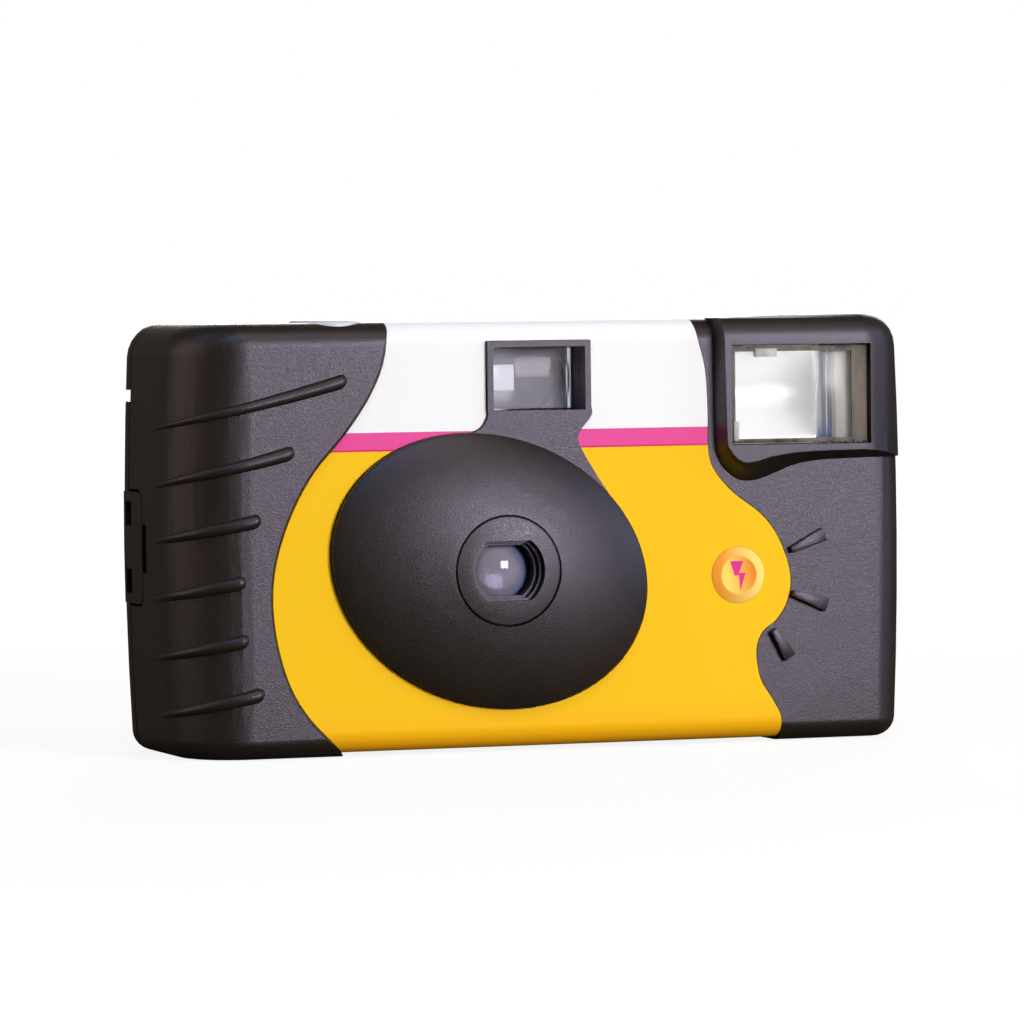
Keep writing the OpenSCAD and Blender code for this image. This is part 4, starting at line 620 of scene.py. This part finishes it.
def makeBandLip():
    low, high = boxOf("flash_button")
    middle = (low + high) / 2
    middle.y = bandFace
    lip = turnedPiece(middle, [(lipForm["outer"], lipForm["back"]), (lipForm["outer"], lipForm["front"])])
    carve(lip, turnedPiece(middle, [(lipForm["inner"], -2 * mm), (lipForm["inner"], 2 * mm)]))
    finishPiece(lip, "bandLip", bodyOf["wrap_label"], finishOf["label"], 30)
    return lip


# the three rays beside the button, higher at the inner end
rayForm = {"rows": [(23, 9.3), (-19, 9.3), (-57.5, 10.2)], "outer": 15.25 * mm, "innerHalf": 0.5 * mm,
           "outerHalf": 1.05 * mm, "innerRise": 1.2 * mm, "outerRise": 0.9 * mm, "sunk": 0.25 * mm, "edge": 0.1 * mm,
           "overlap": 0.04 * mm}


def makeRay(number, angle, inner):
    form = rayForm
    low, high = boxOf("flash_button")
    middle = (low + high) / 2
    ray = makeBlock(inner * mm - form["overlap"], form["outer"], bandFace - form["innerRise"], bandFace + form["sunk"],
                    -form["innerHalf"], form["innerHalf"], 0)
    selectPoints(ray, lambda place: place.x > form["outer"] - form["edge"])  # the outer end is wider
    bpy.ops.transform.resize(value=(1, 1, form["outerHalf"] / form["innerHalf"]), center_override=(0, 0, 0))
    selectPoints(ray, lambda place: place.x > form["outer"] - form["edge"] and place.y < bandFace)  # and lower
    bpy.ops.transform.translate(value=(0, form["innerRise"] - form["outerRise"], 0))
    bpy.ops.mesh.select_all(action="SELECT")
    bpy.ops.mesh.bevel(offset=form["edge"], segments=2, affect="EDGES")
    bpy.ops.transform.rotate(value=math.radians(angle), orient_axis="Y", center_override=(0, 0, 0))
    bpy.ops.transform.translate(value=(middle.x, 0, middle.z))
    bpy.ops.object.mode_set(mode="OBJECT")
    finishPiece(ray, "ray%d" % number, bodyOf["front_cover"], finishOf["cover_plastic"], 35)
    return ray


# the grip's finger ribs as full round bars over the thin ones below: (head x, head z, tail z)
ribForm = {"rows": [(-32.5, 56.4, 49.3), (-40.8, 45.8, 40.7), (-46.1, 35.8, 32.4), (-48.5, 26.7, 23.8),
                    (-48.2, 18, 15), (-45.9, 10, 6.3)],
           "left": -58.75, "face": -15.3, "turn": 11.5, "bow": 1.0, "tall": 65.0, "tail": -3.2, "half": 1.16,
           "rise": 1.08, "sunk": 0.12, "along": 40, "around": 28}


def gripSurface(reach, height):
    form = ribForm
    bow = form["bow"] * ((height - form["tall"] / 2) / (form["tall"] / 2)) ** 2
    corner = form["turn"] * math.pi / 2
    if reach < 0:
        return Vector((form["left"] + bow, form["face"] + form["turn"] - reach, height)), Vector((-1, 0, 0))
    if reach < corner:
        angle = math.pi / 2 * reach / corner
        place = Vector((form["left"] + form["turn"] + (bow - form["turn"]) * math.cos(angle),
                        form["face"] + form["turn"] - form["turn"] * math.sin(angle), height))
        return place, Vector((-math.cos(angle), -math.sin(angle), 0))
    return Vector((form["left"] + form["turn"] + reach - corner, form["face"], height)), Vector((0, -1, 0))


# a ring is extruded from the tail to the head, turned with the grip and widened on the way
def makeRib(number, headX, headZ, tailZ):
    form = ribForm
    head = form["turn"] * math.pi / 2 + headX - form["left"] - form["turn"] + 0.1

    def stepAt(along):
        reach = form["tail"] + (head - form["tail"]) * (1 - (1 - along) ** 1.6)
        share = (reach - form["tail"]) / (head - form["tail"])
        width = max(0.05, share) ** 0.55
        beyond = (reach - (head - form["half"])) / form["half"]
        if beyond > 0:
            width *= math.sqrt(max(1 - beyond * beyond, 0.0016))
        place, out = gripSurface(reach, tailZ + (headZ - tailZ) * share ** 1.4)
        return (place - out * form["sunk"]) * mm, math.atan2(-out.y, -out.x), width

    middle, turned, width = stepAt(0)
    deselectAll()
    bpy.ops.mesh.primitive_circle_add(vertices=form["around"], radius=1, fill_type="NGON", location=middle,
                                      rotation=(math.pi / 2, 0, 0))
    rib = bpy.context.view_layer.objects.active
    rib.scale = (form["rise"] * width * mm, form["half"] * width * mm, 1)
    bpy.ops.object.transform_apply(location=True, rotation=True, scale=True)
    bpy.ops.object.mode_set(mode="EDIT")
    bpy.ops.mesh.select_all(action="SELECT")
    for step in range(1, form["along"] + 1):
        nextMiddle, nextTurned, nextWidth = stepAt(step / form["along"])
        bpy.ops.mesh.extrude_region_move(TRANSFORM_OT_translate={"value": nextMiddle - middle})
        grow = nextWidth / width
        bpy.ops.transform.resize(value=(grow, grow, grow), center_override=nextMiddle)
        bpy.ops.transform.rotate(value=turned - nextTurned, orient_axis="Z", center_override=nextMiddle)
        middle, turned, width = nextMiddle, nextTurned, nextWidth
    bpy.ops.object.mode_set(mode="OBJECT")
    finishPiece(rib, "gripRib%d" % number, bodyOf["front_cover"], finishOf["cover_plastic"], 60)


# clear ribs and panels moulded at the right end of the flash window, drawn on a flat plate as upright bands of painted
# reflection and shade, with a painted dark blue reflection low at the left
baffleForm = {"x": (43.0, 49.4), "y": (-14.385, -14.315), "z": (46.5, 60.0),
              "reflectionBands": [(43.0, (0.40, 0.40, 0.44)), (44.0, (0.17, 0.175, 0.21)), (44.75, (0.70, 0.70, 0.72)),
                        (45.0, (0.10, 0.105, 0.16)), (45.7, (0.34, 0.30, 0.28)), (46.3, (0.62, 0.56, 0.51)),
                        (48.8, (0.85, 0.85, 0.86))],
              "low": (0.03, 0.06, 0.30), "lowTop": 49.5, "lowRight": 45.7}


def paintedRibReflections(name, form):
    finish, tree, shader = newFinish(name)
    axes = addNode(tree, "ShaderNodeSeparateXYZ", links={"Vector": objectPlace(tree)})
    wave = spread(tree, noiseOf(tree, 260, 2.0, (1, 1, 0.3)), -0.25 * mm, 0.25 * mm)
    place = addNode(tree, "ShaderNodeMath", links={0: axes.outputs["X"], 1: wave}, operation="ADD").outputs[0]
    x0, x1 = form["x"]
    # the upright bands are painted reflection and shade of the clear ribs
    reflectionBands = addNode(tree, "ShaderNodeValToRGB", links={"Fac": spread(tree, place, 0.0, 1.0, x0 * mm, x1 * mm)})
    ramp = reflectionBands.color_ramp
    ramp.interpolation = "CONSTANT"
    ramp.elements[0].color = (*form["reflectionBands"][0][1], 1)
    ramp.elements[1].position = (form["reflectionBands"][1][0] - x0) / (x1 - x0)
    ramp.elements[1].color = (*form["reflectionBands"][1][1], 1)
    for start, colour in form["reflectionBands"][2:]:
        ramp.elements.new((start - x0) / (x1 - x0)).color = (*colour, 1)
    # painted reflection: a dark blue patch over the lower left bands
    foot = spread(tree, axes.outputs["Z"], 0.85, 0.0, form["z"][0] * mm, form["lowTop"] * mm)
    side = spread(tree, axes.outputs["X"], 1.0, 0.0, (form["lowRight"] - 0.1) * mm, form["lowRight"] * mm)
    paintedBlueShare = addNode(tree, "ShaderNodeMath", links={0: foot, 1: side}, operation="MULTIPLY").outputs[0]
    both = addNode(tree, "ShaderNodeMix", links={0: paintedBlueShare, 6: reflectionBands.outputs["Color"]}, data_type="RGBA")
    both.inputs[7].default_value = (*form["low"], 1)
    tree.links.new(both.outputs[2], shader.inputs["Base Color"])
    shader.inputs["Roughness"].default_value = 0.2
    shader.inputs["Transmission Weight"].default_value = 0.25
    return finish


# the flash window's inner frame with its two lugs
surroundForm = {"front": -15.9 * mm, "back": -15.62 * mm, "left": 0.8 * mm, "right": 2.7 * mm, "top": 0.9 * mm,
                "foot": 0.75 * mm, "edge": 0.12 * mm, "play": 0.12 * mm,
                "lugs": [(32.6, 36.2, 59.05, 60.3), (29.0, 29.9, 46.2, 49.2)], "lugFront": -16.1 * mm}


def makeFlashSurround():
    form = surroundForm
    low, high = boxOf("flash_lens")
    surround = makeBlock(low.x + form["play"], high.x - form["play"], form["front"], form["back"],
                         low.z + form["play"], high.z - form["play"], form["edge"])
    carve(surround, makeBlock(low.x + form["left"], high.x - form["right"], form["front"] - mm, form["back"] + mm,
                              low.z + form["foot"], high.z - form["top"], 0))
    smoke = smokedPlastic("smokedRim", smokeLook)
    paleSmoke = smokedPlastic("paleLug", lugLook)
    finishPiece(surround, "flashSurround", bodyOf["flash_lens"], smoke, 35)
    for number, (x0, x1, z0, z1) in enumerate(form["lugs"]):
        lug = makeBlock(x0 * mm, x1 * mm, form["lugFront"], form["back"], z0 * mm, z1 * mm, form["edge"])
        finishPiece(lug, "flashLug%d" % (number + 1), bodyOf["flash_lens"], paleSmoke, 35)


for number, row in enumerate(ribForm["rows"]):
    makeRib(number + 1, *row)
baffle = makeBlock(*[edge * mm for axis in "xyz" for edge in baffleForm[axis]], 0.02 * mm)
finishPiece(baffle, "flashBaffle", bodyOf["flash_lens"], paintedRibReflections("paintedRibShine", baffleForm), 35)
makeBandLip()
for number, (angle, inner) in enumerate(rayForm["rows"]):
    makeRay(number + 1, angle, inner)
makeFlashSurround()
print("new pieces modelled")


# studio: floor, lamps, world, camera

studio = {"floorSize": 6.0, "floorSeen": (0.95, 0.95, 0.95, 1), "floorBounce": (0.10, 0.09, 0.08, 1),
          "floorWhite": 0.82, "floorGlow": 1.06, "fade": (0.2, 0.9), "worldLight": 0.12,
          "worldTint": (1.0, 0.88, 0.72, 1),
          "key": {"place": (0.50, -1.20, 0.245), "size": 0.42, "tall": 0.36, "power": 15.0, "aim": (0, 0, 0.03),
                  "tint": (0.98, 0.945, 0.925)},
          "side": {"place": (1.15, -0.45, 0.35), "size": 0.6, "power": 3.9, "aim": (0, 0, 0.03),
                   "tint": (0.52, 0.70, 1.0)},
          "left": {"place": (-1.25, 0.15, 0.30), "size": 1.2, "power": 6.0, "aim": (0, 0, 0.03),
                   "tint": (1.0, 0.82, 0.58)},
          "fill": {"place": (-0.9, 0.15, 1.3), "size": 0.24, "power": 1.1, "aim": (0, 0, 0.03),
                   "tint": (0.30, 0.62, 1.0), "spread": 0.2},
          "sky": {"place": (-0.38, -0.80, 0.98), "size": 0.45, "tall": 0.28, "power": 3.0, "aim": (0, 0, 0.03),
                  "tint": (0.16, 0.55, 1.0), "spread": 0.0},
          "back": {"place": (0.55, 1.25, 0.55), "size": 0.6, "power": 11.0, "aim": (0, 0, 0.03),
                   "tint": (1.0, 0.96, 0.92)},
          "top": {"place": (0.15, -0.75, 1.05), "size": 0.4, "power": 3.0, "aim": (0, 0, 0.03),
                  "tint": (1.0, 0.88, 0.70)}}


def seenDirectly(tree):
    path = addNode(tree, "ShaderNodeLightPath")
    either = addNode(tree, "ShaderNodeMath", operation="MAXIMUM")
    tree.links.new(path.outputs["Is Camera Ray"], either.inputs[0])
    tree.links.new(path.outputs["Is Transmission Ray"], either.inputs[1])
    return either.outputs[0]


def makeFloor():
    deselectAll()
    bpy.ops.mesh.primitive_plane_add(size=studio["floorSize"], location=(0, 0, -0.0001))
    floor = bpy.context.view_layer.objects.active
    floor.name = "floor"
    finish, tree, shader = newFinish("paleFloor")
    direct = seenDirectly(tree)
    paper = addNode(tree, "ShaderNodeMix", links={0: direct}, data_type="RGBA")
    paper.inputs[6].default_value = studio["floorBounce"]
    paper.inputs[7].default_value = studio["floorSeen"]
    tree.links.new(paper.outputs[2], shader.inputs["Base Color"])
    shader.inputs["Roughness"].default_value = 0.9
    shader.inputs["Specular IOR Level"].default_value = 0.0
    glow = addNode(tree, "ShaderNodeEmission", {"Color": (1, 1, 1, 1), "Strength": studio["floorGlow"]})
    reach = addNode(tree, "ShaderNodeVectorMath", links={0: objectPlace(tree)}, operation="LENGTH")
    white = spread(tree, reach.outputs["Value"], studio["floorWhite"], 1.0, *studio["fade"])
    share = addNode(tree, "ShaderNodeMath", links={0: direct, 1: white}, operation="MULTIPLY")
    mix = addNode(tree, "ShaderNodeMixShader",
                  links={0: share.outputs[0], 1: shader.outputs[0], 2: glow.outputs[0]})
    tree.links.new(mix.outputs[0], tree.nodes["Material Output"].inputs["Surface"])
    floor.data.materials.append(finish)


def makeLamp(name):
    look = studio[name]
    data = bpy.data.lights.new(name + "Lamp", "AREA")
    data.shape = "RECTANGLE"
    data.size = look["size"]
    data.size_y = look.get("tall", look["size"])
    data.diffuse_factor = look.get("spread", 1.0)
    data.energy = look["power"]
    data.color = look["tint"]
    lamp = bpy.data.objects.new(name + "Lamp", data)
    bpy.context.scene.collection.objects.link(lamp)
    lamp.location = look["place"]
    aim = Vector(look["aim"]) - Vector(look["place"])
    lamp.rotation_euler = aim.to_track_quat("-Z", "Y").to_euler()


def makeWorld():
    world = bpy.data.worlds.new("studioWorld")
    bpy.context.scene.world = world
    world.use_nodes = True
    tree = world.node_tree
    sky = tree.nodes["Background"]
    direct = seenDirectly(tree)
    tint = addNode(tree, "ShaderNodeMix", links={0: direct}, data_type="RGBA")
    tint.inputs[6].default_value = studio["worldTint"]
    tint.inputs[7].default_value = (1, 1, 1, 1)
    tree.links.new(tint.outputs[2], sky.inputs["Color"])
    tree.links.new(spread(tree, direct, studio["worldLight"], 1.0, 0.0, 1.0), sky.inputs["Strength"])


# the photo's camera stands left of the front, just above the lens
viewpoint = {"place": (-288.25 * mm, -833.20 * mm, 66.39 * mm), "azimuth": -19.0, "elevation": 2.0,
             "roll": 0.66, "lens": 202.07, "sensor": 36.0}


def makeCamera():
    turn = math.radians(viewpoint["azimuth"])
    rise = math.radians(viewpoint["elevation"])
    back = Vector((math.sin(turn) * math.cos(rise), -math.cos(turn) * math.cos(rise), math.sin(rise)))
    level = Vector((math.cos(turn), math.sin(turn), 0))
    upright = back.cross(level)
    roll = math.radians(viewpoint["roll"])
    right = level * math.cos(roll) - upright * math.sin(roll)
    up = level * math.sin(roll) + upright * math.cos(roll)
    data = bpy.data.cameras.new("photoCamera")
    data.lens = viewpoint["lens"]
    data.sensor_width = viewpoint["sensor"]
    data.clip_start = 0.05
    data.clip_end = 50
    camera = bpy.data.objects.new("photoCamera", data)
    bpy.context.scene.collection.objects.link(camera)
    turned = Matrix((right, up, back)).transposed().to_4x4()
    camera.matrix_world = Matrix.Translation(viewpoint["place"]) @ turned
    bpy.context.scene.camera = camera


makeFloor()
for lampName in ("key", "side", "left", "fill", "sky", "back", "top"):
    makeLamp(lampName)
makeWorld()
makeCamera()
bpy.context.scene.view_settings.view_transform = "Standard"
print("studio ready")

bpy.context.view_layer.update()
